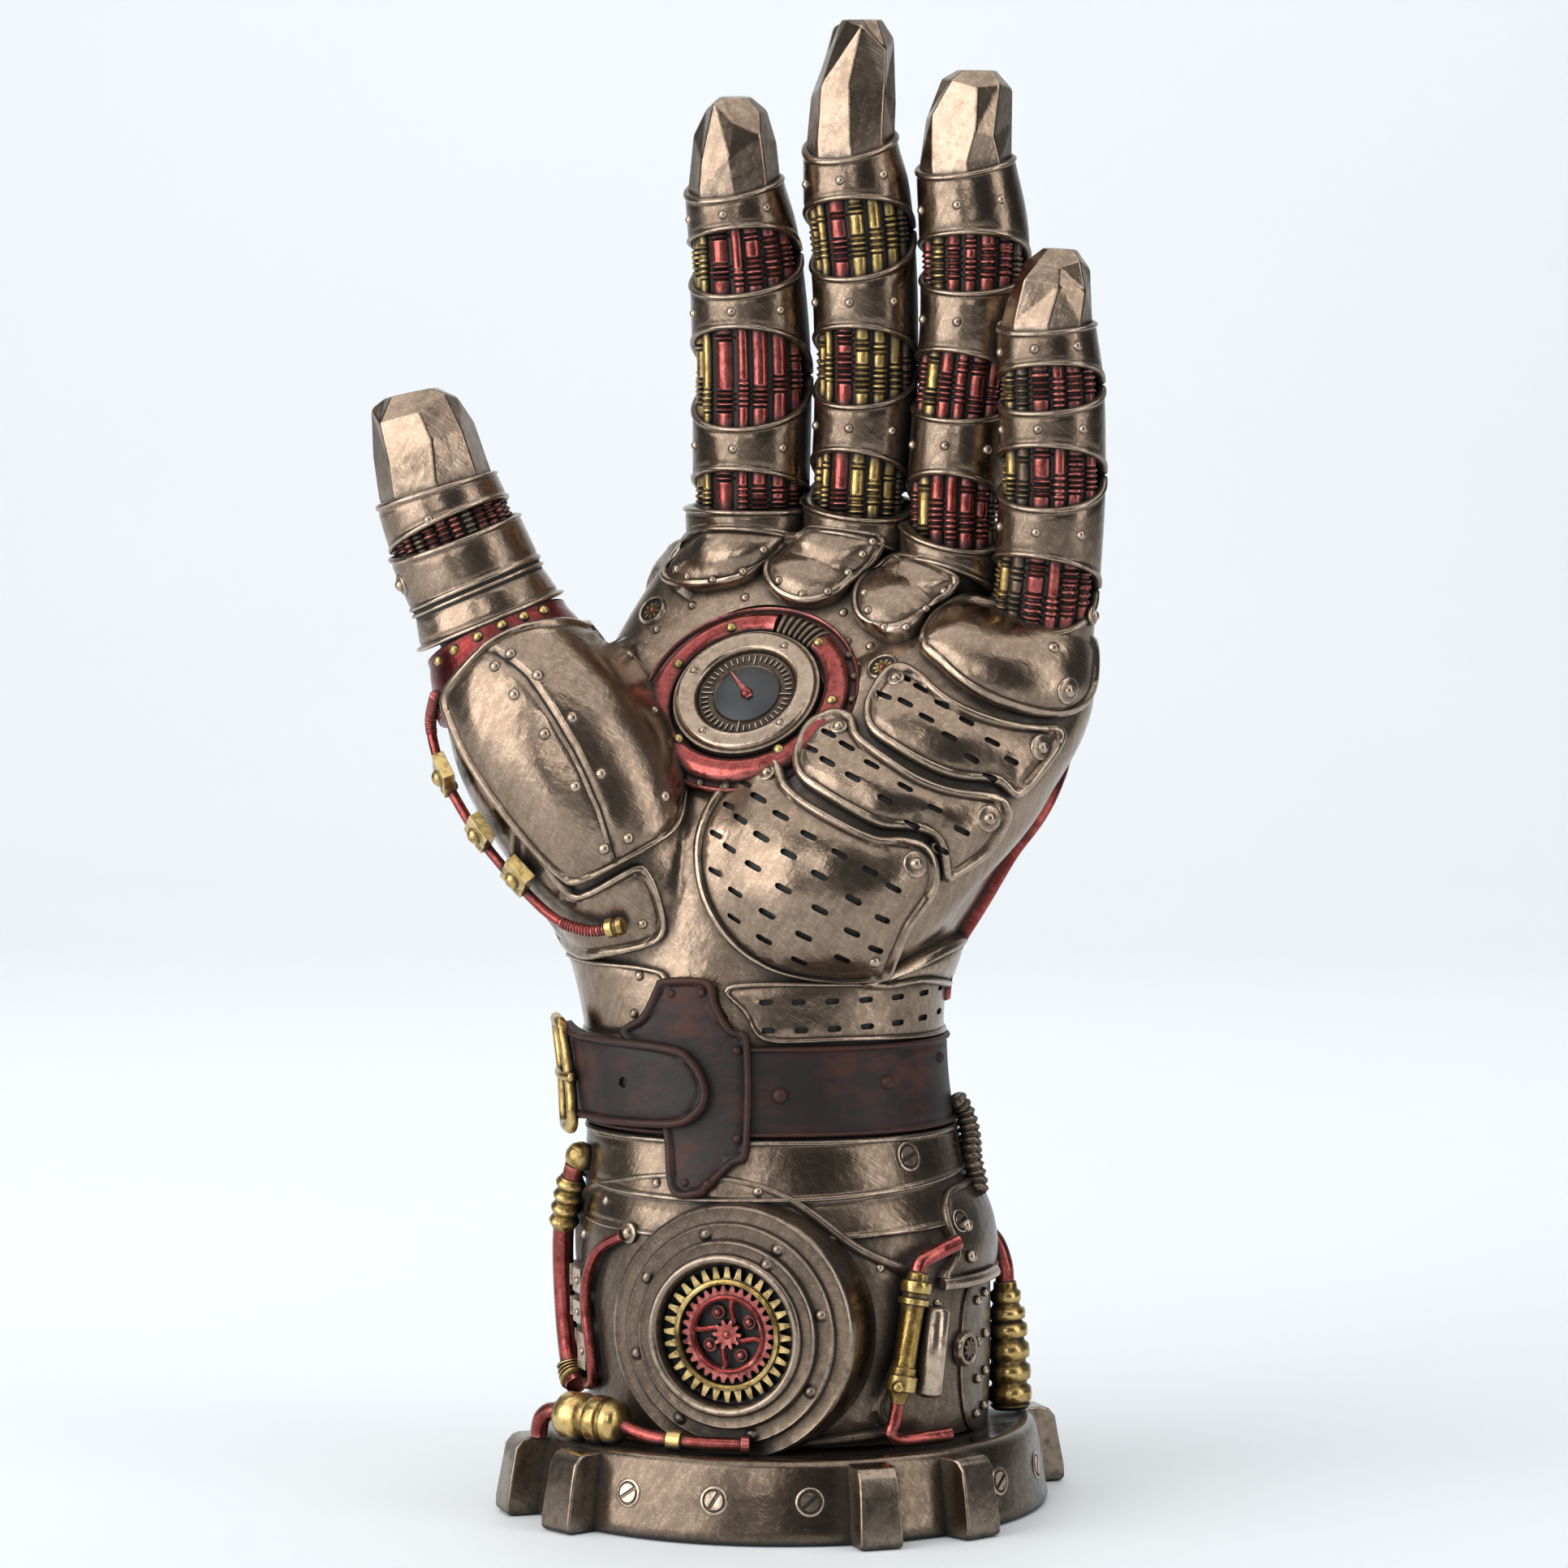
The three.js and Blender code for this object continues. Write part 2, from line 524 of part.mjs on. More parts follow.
function buildCuff() {
  const low = CLEARANCE;
  const flare = [
    [-60, 20], [-60, 50], [-39.4, 54], [-39.2, 59.4], [-34.4, 65], [-22.7, 68.4], [-9.5, 68.2], [2.2, 64.1],
    [14.6, 55.5], [23.7, 48.4], [22.1, 39], [18.6, 29.5], [11.5, 20],
  ];
  const bossRoom = turned([[0, -30], [26.4, -30], [26.4, 20], [0, 20]], 40, BOSS);
  addPiece("cuff_plate", plate(flare, -80, 2, low, low + PLATE).subtract(bossRoom), BRONZE);
  // Two lames round the arm above the cuff plate; each one's lower edge drops towards -X.
  const frontDrop = (angle) => 0.5 + 0.5 * Math.cos(angle + 0.35);
  const upper = band(armPoint, (a) => 69.4 - 6.2 * frontDrop(a), () => STRAP_LOW - low, low, low + 1.9, BODY_SIDES);
  const room = prism(grownOutline(flare, 0.4), -90, 3).add(bossRoom);
  addPiece("cuff_lame_upper", upper.subtract(room), BRONZE);
  const lower = band(armPoint, (a) => 60 - 4 * frontDrop(a), (a) => 69 - 6.2 * frontDrop(a), low, low + 1.2, BODY_SIDES);
  addPiece("cuff_lame_lower", lower.subtract(room), BRONZE);
}

// An outline drawn again a distance further out, about its middle.
function grownOutline(outline, distance) {
  const middle = outline.reduce(([x, z], p) => [x + p[0] / outline.length, z + p[1] / outline.length], [0, 0]);
  return outline.map(([x, z]) => {
    const length = Math.hypot(x - middle[0], z - middle[1]);
    const scale = (length + distance) / length;
    return [middle[0] + (x - middle[0]) * scale, middle[1] + (z - middle[1]) * scale];
  });
}

const STRAP_PLATE = [
  [-23.6, 104.2], [-22.4, 105.6], [-13.8, 105.6], [-12.2, 101], [-9.6, 96.4], [-6.4, 94], [-6.4, 73], [-9.4, 69.6],
  [-13.6, 65], [-15, 63.8], [-20.6, 64.2], [-21.8, 76.5], [-25, 84], [-27.6, 91.6], [-29.8, 95.4], [-26, 98.6],
];

function buildStrap() {
  const low = 2 * CLEARANCE;
  const strapInner = low;
  const strapOuter = low + LEATHER;
  const strap = band(armPoint, () => STRAP_LOW, () => STRAP_HIGH, strapInner, strapOuter, BODY_SIDES, 2);
  addPiece("wrist_strap", strap, STRAP_LEATHER);
  const plateInner = strapOuter + CLEARANCE;
  const thick = prism(STRAP_PLATE, -80, 0).intersect(grownArm(plateInner + LEATHER)).subtract(grownArm(plateInner));
  addPiece("strap_plate", thick, STRAP_LEATHER);
  const tongueInner = plateInner + LEATHER + CLEARANCE;
  const tongue = [
    [-60, 94.6], [-38, 94.6], [-21.2, 92.6], [-18, 90], [-16.4, 86], [-16.4, 82.4], [-18, 79.2], [-21.6, 77],
    [-28, 76.4], [-60, 77.4],
  ];
  const tongueShell = plate(tongue, -80, -6, tongueInner, tongueInner + LEATHER);
  addPiece("strap_tongue", tongueShell, STRAP_LEATHER);
  // The buckle's frame stands round the strap and the tongue at the thumb side.
  const outer = block([-60, -9, 73.8], [-28, -1.6, 95.4]).intersect(grownArm(8.2));
  const inner = block([-70, -20, 75], [-20, 10, 94.9]).intersect(grownArm(tongueInner + LEATHER + 1.4 * CLEARANCE));
  const frame = outer.subtract(inner).subtract(grownArm(2.6));
  addPiece("strap_buckle", frame, GOLD);
}

// ---------------------------------------------------------------- fingers and thumb

// How far open a band's opening is at an angle: fully at the palm's side and closed behind.
function openness(angle) {
  const turn = Math.abs(((angle + Math.PI) % (2 * Math.PI)) - Math.PI);
  return Math.max(0, Math.cos(turn * 0.82)) ** 0.7;
}

// A limb that ends in a cap cut like a gem: rings of eight corners that draw in towards the tip.
function gemCap(point, foot, top, front = 0) {
  const corners = [-62, -24, 24, 66, 112, 160, 205, 250].map(rad);
  const rings = [[0, -0.5, 0], [0.5, -0.3, 0.3], [0.86, -1.6, 0.8], [1, -4, 0.4]].map(([share, grow, shift]) =>
    corners.map((angle) => {
      const p = point(foot + (top - foot) * Math.min(share, 0.999), angle, grow);
      return p.add(new THREE.Vector3(front * shift * 0.4, -shift, 0));
    }),
  );
  return solid(ringSurface(rings));
}

function buildFinger(name, finger) {
  const point = fingerPoint(finger);
  const outer = 0;
  const inner = -1.5;
  const top = finger.rows.at(-1)[0];
  const gap = CLEARANCE / 2;
  const capFoot = (angle) => finger.capFoot + finger.capRise * (0.5 - 0.5 * Math.cos(angle));
  const coreTop = finger.capFoot - 0.6;
  const core = filled(point, spread(finger.foot, coreTop, 6), FINGER_SIDES, inner - 2 * CLEARANCE);
  addPiece(name + "_rods", core.subtract(grownArm(CLEARANCE)).subtract(padRoom()), RED_COPPER);
  const edges = finger.openings.map(([height, half]) => ({
    over: (angle) => height + half * openness(angle) + gap,
    under: (angle) => height - half * openness(angle) - gap,
  }));
  const tops = [capFoot, edges[0].under, edges[1].under];
  edges.forEach((edge, i) => {
    addPiece(name + "_band_" + (i + 1), band(point, edge.over, tops[i], inner, outer, FINGER_SIDES), BRONZE);
  });
  const cap = gemCap(point, finger.capFoot - 0.2, top);
  const clear = band(point, (a) => finger.capFoot - 12, (a) => capFoot(a) + 0.3, inner - 0.3, 6, FINGER_SIDES);
  addPiece(name + "_cap", cap.subtract(clear).intersect(block([-100, -60, coreTop + 0.4], [100, 60, 320])), BRONZE);
}

// The thumb's rows, laid along its leaning axis.
function thumbRows() {
  const lean = rad(THUMB_LEAN);
  return THUMB_ROWS.map(([along, shift, radius]) => [
    along,
    THUMB_FOOT[0] - along * Math.sin(lean) + shift * Math.cos(lean),
    THUMB_FOOT[1],
    THUMB_FOOT[2] + along * Math.cos(lean) + shift * Math.sin(lean),
    radius,
    radius * 0.95,
  ]);
}

function buildThumb() {
  const rows = thumbRows();
  const point = (along, angle, grow) => limbPoint(rows, THUMB_TURN, along, angle, grow);
  const gap = CLEARANCE / 2;
  const core = filled(point, spread(-0.01, 29, 5), FINGER_SIDES, -1.9);
  addPiece("thumb_rods", core.subtract(grownArm(CLEARANCE)), RED_COPPER);
  const over = (angle) => 21 + 2.6 * openness(angle - 0.3) + gap;
  const under = (angle) => 21 - 1.8 * openness(angle - 0.3) - gap;
  addPiece("thumb_band_1", band(point, over, () => 30, -1.5, 0, FINGER_SIDES), BRONZE);
  addPiece("thumb_band_2", band(point, () => 9.4, under, -1.5, 0.8, FINGER_SIDES), BRONZE);
  const cone = (along, angle, grow) => point(along, angle, grow + (grow > -1 ? 0.32 * (9 - along) : 0));
  const collar = band(cone, () => 2.6, () => 9, -1.5, 0.3, FINGER_SIDES + 4);
  addPiece("thumb_collar", collar.subtract(grownArm(CLEARANCE)), BRONZE);
  const red = band(rootPoint, () => 4.2, () => 4.72, CLEARANCE, CLEARANCE + 0.9, 24);
  addPiece("thumb_ring", red.subtract(plate(grownOutline(THENAR, 0.4), -80, -3.6, 0, 8)), RED_COPPER);
  const cap = gemCap(point, 29.6, THUMB_LENGTH, -1);
  const clear = band(point, () => 20, () => 30.3, -1.8, 6, FINGER_SIDES);
  addPiece("thumb_cap", cap.subtract(clear), BRONZE);
}

// ---------------------------------------------------------------- pipes and fittings

// A tube along a smooth curve through points.
function tube(points, radius, steps, sides = 8) {
  const curve = new THREE.CatmullRomCurve3(points.map((p) => (p.isVector3 ? p : new THREE.Vector3(...p))));
  const section = new THREE.Shape(
    angles(sides).map((a) => new THREE.Vector2(radius * Math.cos(a), radius * Math.sin(a))),
  );
  return solid(new THREE.ExtrudeGeometry(section, { steps, bevelEnabled: false, extrudePath: curve }));
}

// A turned fitting between two points, from a profile of share along it and radius.
function fitting(from, to, profile, segments = 12) {
  const start = new THREE.Vector3(...from);
  const axis = new THREE.Vector3(...to).sub(start);
  const length = axis.length();
  const points = [[0, 0], ...profile.map(([share, radius]) => [radius, share * length]), [0, length]];
  return turned(points, segments, { centre: start.toArray(), normal: axis.toArray() });
}

function buildPipes() {
  const route = [[4.2, -54], [3.95, -84], [3.35, -80], [3, -72], [2.35, -66], [1.6, -52], [1.3, -36], [1.2, -20]];
  const bend = route.map(([along, angle]) => rootPoint(along, rad(angle), 3.4));
  addPiece("thumb_pipe", tube(bend, 1.2, 24).subtract(grownArm(2.2)), RED_COPPER);
  const left = [[71, -76, 4], [66, -80, 4.6], [58, -84, 4], [48, -86, 4.2], [36, -86, 4.2], [27, -84, 4.2], [23.6, -78, 4]];
  const leftRoute = left.map(([z, angle, grow]) => armPoint(z, rad(angle), grow));
  addPiece("cuff_pipe", tube(leftRoute, 1.9, 20).subtract(grownArm(2.3)), RED_COPPER);
  const cartridge = fitting([-43.5, -25, 20.8], [-31, -34.5, 20.4],
    [[0, 2.6], [0.06, 3.6], [0.42, 4.1], [0.5, 3.4], [0.56, 4.2], [0.9, 3.8], [1, 2.4]]);
  const feed = tube([[-33, -33, 20.3], [-28.6, -36.3, 18.9], [-24, -38.5, 17.9], [-15, -41, 17.6], [-8, -41.6, 17.6]], 1.3, 14);
  const tail = tube([[-42, -26, 20.8], [-46, -23, 20.6], [-47.6, -21, 18.4], [-47.8, -20.4, 17]], 1.6, 8);
  const clearOfCuff = grownArm(0.9);
  const boss = turned([[0, -20], [29, -20], [24.8, 0.6], [24.6, 3], [0, 3]], 40, BOSS);
  addPiece("base_cartridge", unite([cartridge, feed, tail]).subtract(clearOfCuff).subtract(boss), GOLD);
  const piston = fitting([25.8, -35, 50.6], [21.6, -38.4, 24.6],
    [[0, 1.8], [0.1, 2.1], [0.12, 3], [0.24, 3], [0.26, 2.3], [0.72, 2.3], [0.74, 3], [0.86, 3], [0.88, 1.8], [1, 1.6]]);
  addPiece("piston", piston.subtract(grownArm(2.3)).subtract(boss), GOLD);
  const bellows = fitting([45.6, 5, 16 + CLEARANCE], [44.2, 5, 41],
    [[0, 3.2], [0.1, 4.3], [0.28, 4.5], [0.32, 3.7], [0.36, 4.4], [0.56, 4.4], [0.6, 3.6], [0.64, 4.2], [0.82, 3.8],
      [0.86, 2.6], [1, 2.5]]);
  const hook = tube([[44.2, 5, 40.6], [44, 5, 45], [42.6, 4.8, 49.4], [40.6, 4.6, 51.4], [38, 4.4, 52]], 1.9, 10);
  addPiece("side_bellows", unite([bellows, hook]).subtract(grownArm(2.2)).subtract(block([0, -30, 0], [45, 13, 16.3])), GOLD);
}

buildStand();
buildShells();
buildHandPlates();
buildDial();
buildBoss();
buildCuff();
buildStrap();
for (const [name, finger] of Object.entries(FINGERS)) buildFinger(name, finger);
buildThumb();
buildPipes();

export default root;
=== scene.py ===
"""An armoured gauntlet of a left hand on a gear-shaped stand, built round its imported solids.

Sizes inside the script are in millimetres unless a name says otherwise, and every mesh is scaled to
metres as it is made. The origin is the centre of the stand's underside, +Z is up, the palm faces -Y and
the thumb points towards -X.
"""

import math

import bmesh
import bpy
import numpy as np
from bpy.props import FloatProperty, FloatVectorProperty, PointerProperty
from mathutils import Matrix, Vector
from mathutils.bvhtree import BVHTree
from mathutils.geometry import delaunay_2d_cdt


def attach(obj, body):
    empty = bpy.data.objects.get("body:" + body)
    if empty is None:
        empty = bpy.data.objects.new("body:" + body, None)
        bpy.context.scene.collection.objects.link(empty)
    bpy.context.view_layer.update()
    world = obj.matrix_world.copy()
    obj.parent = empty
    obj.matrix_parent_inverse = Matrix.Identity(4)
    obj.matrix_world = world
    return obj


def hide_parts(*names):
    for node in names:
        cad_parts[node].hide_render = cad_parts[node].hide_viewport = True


bl_info = {
    "name": "Armoured gauntlet",
    "version": (1, 0, 0),
    "blender": (4, 5, 0),
    "location": "View3D > Sidebar > Gauntlet",
    "description": "Builds an armoured gauntlet on a gear-shaped stand",
    "category": "Object",
}

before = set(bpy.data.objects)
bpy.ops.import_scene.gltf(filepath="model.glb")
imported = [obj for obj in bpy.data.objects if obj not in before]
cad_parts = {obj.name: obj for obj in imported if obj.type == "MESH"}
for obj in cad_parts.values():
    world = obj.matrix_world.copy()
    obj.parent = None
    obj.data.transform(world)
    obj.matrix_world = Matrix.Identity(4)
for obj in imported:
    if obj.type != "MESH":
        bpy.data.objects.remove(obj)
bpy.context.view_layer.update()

MM = 0.001
TAU = 2 * math.pi
rad = math.radians

# ---- the form of the arm and the fingers

HAND_TURN = 20  # degrees that the palm turns towards -X
SEAM_HEIGHT = 84.3  # between the cuff and the hand, under the strap
STAND_HEIGHT = 16.0

# Sections of the arm: height, centre x and y, half width, half depth, turn, squareness and slope.
ARM = [
    (12, 1.5, 0, 38.3, 36.5, 0, 2.1, 0),
    (24, 1.2, 0, 39.2, 37.5, 0, 2.1, 0),
    (40, 0.5, 0, 40, 38.5, 0, 2.1, 0),
    (56, 0, 0, 39.6, 37, 0, 2.1, 0),
    (66, -1.5, 0, 36.4, 33.5, 0, 2.1, 0),
    (76, -2.5, 0, 34.6, 31, 0, 2.1, 0),
    (86, -3.5, 0, 34.2, 29.3, 0, 2.1, 0),
    (98, -4.4, 0, 34.9, 28.5, 4, 2.1, 0),
    (108, -5, 0, 36.8, 27.5, 8, 2.2, 0),
    (120, -4, -0.5, 42.5, 27, 14, 2.3, 1),
    (135, 0, 0.5, 47, 26, 18, 2.4, 3),
    (150, 7, 5, 49.5, 22.5, 20, 2.5, 7),
    (165, 14.6, 10.5, 48, 18, 20, 2.6, 11),
    (177, 19.2, 13, 44, 15, 20, 2.6, 13.5),
    (183, 19.6, 14, 41, 11.5, 20, 2.4, 13.5),
]
# Limbs: position along the limb, centre x, y and z, half width and half depth.
THUMB_ROOT = [
    (0, -18, -2, 105, 13, 15),
    (1, -26.5, -6, 119, 17, 18),
    (2, -36.5, -8, 135, 19, 19),
    (3, -46, -7, 151, 19.2, 18.5),
    (4, -52.5, -4, 163, 16, 16),
    (5, -56.8, -2, 172, 13, 13),
]
PALM_HEEL = [
    (0, -1, -11, 111, 15, 16),
    (1, 7, -14, 124, 24, 20),
    (2, 19, -10, 138, 25, 19),
    (3, 32, -4, 152, 24.5, 18),
    (4, 42, 1, 163, 19, 15),
    (5, 46, 7, 173, 8, 6),
]
# Fingers: rows of height, centre x and y, half width and half depth; openings between bands as height
# and half height; the cap's foot and its rise behind; the collar's foot and top and its slant; how far
# the cap leans in x and y. A rod is its angle from the palm's side, its radius and its colour.
FINGERS = {
    "index": {
        "rows": [
            (184, -6.5, 20, 11.4, 11), (200, -6.6, 20, 11.8, 11.4), (226, -6.5, 19, 12, 11.4),
            (249, -8, 17, 11.2, 10.6), (262, -10, 15.5, 9.8, 9.4), (278.6, -10, 13.5, 7.4, 7.4),
        ],
        "openings": [(246.6, 6.4), (223, 10), (197.5, 6.5)],
        "cap_foot": 259.5, "cap_rise": 4,
        "collar": (188.5, 196.2), "slant": 0.3, "lean": (0.4, 0.5),
        "rods": [
            (-84, 1.5, "gold"), (-58, 2.0, "gold"), (-38, 1.2, "gold"), (-14, 2.6, "red"),
            (10, 1.2, "red"), (29, 1.9, "red"), (53, 1.8, "red"), (78, 1.6, "red"),
        ],
    },
    "middle": {
        "rows": [
            (182, 15, 13.5, 9.8, 10), (200, 15.3, 13.5, 10, 10), (217, 16.3, 13, 10.3, 10.2),
            (241, 16.1, 11.5, 10.5, 10.4), (259, 14.4, 10, 10.7, 10), (269, 13.2, 9, 9.4, 9),
            (293.4, 13.2, 7, 8.4, 7.6),
        ],
        "openings": [(250.7, 7.6), (225, 7.6), (200, 7.5)],
        "cap_foot": 266.5, "cap_rise": 6,
        "collar": (187.5, 195.2), "slant": 1.7, "lean": (2.4, 0.8),
        "rods": [
            (-78, 1.3, "gold"), (-56, 1.5, "gold"), (-36, 1.2, "gold"), (-12, 2.2, "red"),
            (14, 1.7, "gold"), (37, 1.5, "gold"), (60, 1.5, "gold"), (82, 1.3, "dark"),
        ],
    },
    "ring": {
        "rows": [
            (176, 34, 6.4, 9.5, 9.6), (199, 34.2, 6.4, 9.7, 9.7), (217, 35.6, 7, 10.1, 10),
            (233, 37.2, 6, 10.3, 10), (250, 37.6, 5, 11, 10), (266, 35.8, 4, 9.7, 9),
            (283, 36, 2.5, 8.2, 7.4),
        ],
        "openings": [(245.2, 5.6), (220.6, 6.8), (195.5, 7)],
        "cap_foot": 263, "cap_rise": 4,
        "collar": (181, 189.6), "slant": 2.8, "lean": (2.2, 0.8),
        "rods": [
            (-80, 1.3, "dark"), (-58, 1.4, "red"), (-34, 1.9, "gold"), (-10, 1.7, "red"),
            (12, 1.3, "red"), (34, 1.8, "red"), (58, 1.5, "red"), (80, 1.4, "dark"),
        ],
    },
    "little": {
        "rows": [
            (168, 50.3, -2.5, 10.8, 10.4), (185, 51.7, -6.6, 10.6, 10), (201, 52.5, -8.5, 10.5, 10),
            (220, 52.2, -9.5, 10.4, 10), (232.5, 51.3, -10, 9.6, 9.2), (247.4, 52, -11, 7.6, 7),
        ],
        "openings": [(220.3, 4.3), (203.2, 5.6), (181.5, 6.5)],
        "cap_foot": 231.5, "cap_rise": 2.5,
        "collar": None, "slant": 0, "lean": (2.0, 0.9),
        "rods": [
            (-76, 1.5, "gold"), (-50, 1.8, "gold"), (-24, 1.6, "dark"), (2, 2.2, "red"),
            (26, 1.3, "red"), (48, 1.9, "red"), (74, 1.6, "red"),
        ],
    },
}
THUMB_LEAN = 19
THUMB_FOOT = (-57.2, -2, 172.6)
THUMB_LENGTH = 49.5
THUMB_TURN = -12
THUMB_ROWS = [(0, 0, 13), (10, -0.6, 13), (20, -1.4, 12.8), (31, -1.6, 12), (50, 0.6, 9.5)]

BOSS_CENTRE, BOSS_NORMAL = (-9.4, -36.2, 38.6), (-0.36, -0.93, 0)
DIAL_CENTRE, DIAL_NORMAL = (-7, -9.6, 159.6), (-0.25, -0.74, 0.625)


def row_at(table, key):
    """A row of a table at any value of its first column, on a smooth curve through the rows."""
    last = len(table) - 1
    key = min(max(key, table[0][0]), table[last][0])
    i = 0
    while i < last - 1 and key > table[i + 1][0]:
        i += 1
    before, a, b, after = table[max(i - 1, 0)], table[i], table[i + 1], table[min(i + 2, last)]
    span = b[0] - a[0]
    t = (key - a[0]) / span
    h = t * t * (3 - 2 * t)
    out = [key]
    for k in range(1, len(a)):
        slope_a = (b[k] - before[k]) / (b[0] - before[0]) * span
        slope_b = (after[k] - a[k]) / (after[0] - a[0]) * span
        out.append(a[k] * (1 - h) + b[k] * h + slope_a * t * (1 - t) ** 2 - slope_b * t * t * (1 - t))
    return out


def full_turn(count):
    """Evenly spaced angles of a whole turn."""
    return np.arange(count) * TAU / count


def circle(radius, count):
    """Points of x and y on a circle."""
    return [(radius * math.cos(a), radius * math.sin(a)) for a in full_turn(count)]


def squared(value, power):
    """A sine or cosine pulled towards a squarer curve; a power of 2 leaves it round."""
    return math.copysign(abs(value) ** (2 / power), value)


def arm_point(z, angle, grow=0.0):
    """A point of the arm's surface. Angle 0 is the palm's side and a quarter turn is towards +X."""
    _, cx, cy, width, depth, turn, power, slope = row_at(ARM, z)
    across = (width + grow) * squared(math.sin(angle), power)
    forward = (depth + grow) * squared(math.cos(angle), power)
    s, c = math.sin(rad(turn)), math.cos(rad(turn))
    return Vector((
        cx + across * c - forward * s,
        cy - across * s - forward * c,
        z - across * math.tan(rad(slope)),
    ))


class Limb:
    """A round form along a centre line, such as a finger."""

    def __init__(self, rows, turn=0.0):
        self.rows = rows
        self.front = Vector((-math.sin(rad(turn)), -math.cos(rad(turn)), 0))
        self.step = 0.01 * (rows[-1][0] - rows[0][0])

    def station(self, along):
        """Centre, sideways and frontal directions, axis, half width and half depth."""
        _, x, y, z, width, depth = row_at(self.rows, along)
        ahead, behind = row_at(self.rows, along + self.step), row_at(self.rows, along - self.step)
        axis = (Vector(ahead[1:4]) - Vector(behind[1:4])).normalized()
        front = (self.front - axis * self.front.dot(axis)).normalized()
        return Vector((x, y, z)), axis.cross(front), front, axis, width, depth

    def point(self, along, angle, grow=0.0):
        centre, side, front, _, width, depth = self.station(along)
        return centre + side * ((width + grow) * math.sin(angle)) + front * ((depth + grow) * math.cos(angle))

    def skin(self, stations, sides, grow=0.0):
        """Rings of points round the limb."""
        return [[self.point(s, a, grow) for a in full_turn(sides)] for s in stations]


def thumb_rows():
    """The thumb's rows, laid along its leaning axis."""
    s, c = math.sin(rad(THUMB_LEAN)), math.cos(rad(THUMB_LEAN))
    x, y, z = THUMB_FOOT
    return [
        (along, x - along * s + shift * c, y, z + along * c + shift * s, radius, radius * 0.95)
        for along, shift, radius in THUMB_ROWS
    ]


FINGER_LIMBS = {
    name: Limb([(z, x, y, z, width, depth) for z, x, y, width, depth in finger["rows"]], HAND_TURN)
    for name, finger in FINGERS.items()
}
THUMB = Limb(thumb_rows(), THUMB_TURN)
ROOT = Limb(THUMB_ROOT)
HEEL = Limb(PALM_HEEL, HAND_TURN)

# ---- meshes


class Shape:
    """Collects points in millimetres and faces with a material each, and makes one object of them."""

    def __init__(self):
        self.points = []
        self.faces = []
        self.finishes = []

    def add(self, points, faces, finish=0):
        start = len(self.points)
        self.points.extend(tuple(p) for p in points)
        self.faces.extend(tuple(start + i for i in face) for face in faces)
        self.finishes.extend([finish] * len(faces))
        return start

    def rings(self, rings, finish=0, joined=False, capped=True):
        """Joins rings of points of equal length into a surface."""
        count = len(rings[0])
        points = [p for ring in rings for p in ring]
        faces = []
        last = len(rings) if joined else len(rings) - 1
        for i in range(last):
            a, b = i * count, (i + 1) % len(rings) * count
            for j in range(count):
                k = (j + 1) % count
                faces.append((a + j, a + k, b + k, b + j))
        if capped and not joined:
            faces.append(tuple(reversed(range(count))))
            faces.append(tuple(range((len(rings) - 1) * count, len(rings) * count)))
        return self.add(points, faces, finish)

    def make(self, name, finishes, replaces=(), bevel=0.0, bevel_over=28, flat_over=None):
        """Makes the piece, in metres, with its materials."""
        mesh = bpy.data.meshes.new(name)
        mesh.from_pydata([(x * MM, y * MM, z * MM) for x, y, z in self.points], [], self.faces)
        for material in finishes:
            mesh.materials.append(material)
        mesh.polygons.foreach_set("material_index", self.finishes)
        mesh.update()
        return settle(mesh, name, replaces, bevel, bevel_over, flat_over)

    def tool(self, name):
        """A bare object, to be remeshed or cut with."""
        mesh = bpy.data.meshes.new(name)
        mesh.from_pydata([Vector(p) * MM for p in self.points], [], self.faces)
        return linked(name, mesh)


def linked(name, data):
    """An object of a mesh, light or camera, linked to the scene."""
    made = bpy.data.objects.new(name, data)
    bpy.context.scene.collection.objects.link(made)
    return made


def face_outwards(mesh, flat_over=None):
    """Turns the faces outwards and, if an angle is given, makes the edges past it sharp."""
    bm = bmesh.new()
    bm.from_mesh(mesh)
    bmesh.ops.recalc_face_normals(bm, faces=bm.faces)
    if flat_over is not None:
        for edge in bm.edges:
            edge.smooth = len(edge.link_faces) == 2 and edge.calc_face_angle(0.0) < rad(flat_over)
    bm.to_mesh(mesh)
    bm.free()


def settle(mesh, name, replaces=(), bevel=0.0, bevel_over=28, flat_over=None):
    """Makes the object of a finished mesh and ties it to the frame."""
    face_outwards(mesh, flat_over)
    mesh.polygons.foreach_set("use_smooth", [True] * len(mesh.polygons))
    piece = linked(name, mesh)
    if bevel:
        cut = piece.modifiers.new("edges", "BEVEL")
        cut.width = bevel * MM
        cut.segments = 2
        cut.limit_method = "ANGLE"
        cut.angle_limit = rad(bevel_over)
        cut.harden_normals = True
    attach(piece, "root")
    if replaces:
        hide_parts(*replaces)
    return piece


def basis(centre, normal, up=(0, 0, 1)):
    """A matrix whose z is the normal and whose y leans towards up."""
    out = Vector(normal).normalized()
    right = Vector(up).cross(out).normalized()
    top = out.cross(right)
    return Matrix.Translation(Vector(centre)) @ Matrix((right, top, out)).transposed().to_4x4()


def turned(profile, place, segments=48):
    """Rings of a turned form: profile of radius and height, about the z axis of a place."""
    angles = np.linspace(0, TAU, segments, endpoint=False)
    return [
        [place @ Vector((radius * math.cos(a), radius * math.sin(a), height)) for a in angles]
        for radius, height in profile
    ]


def lathe(shape, profile, place, segments=48, finish=0):
    """Adds a closed turned form whose profile runs from its top centre out and down to its foot."""
    shape.rings(turned(profile, place, segments), finish)


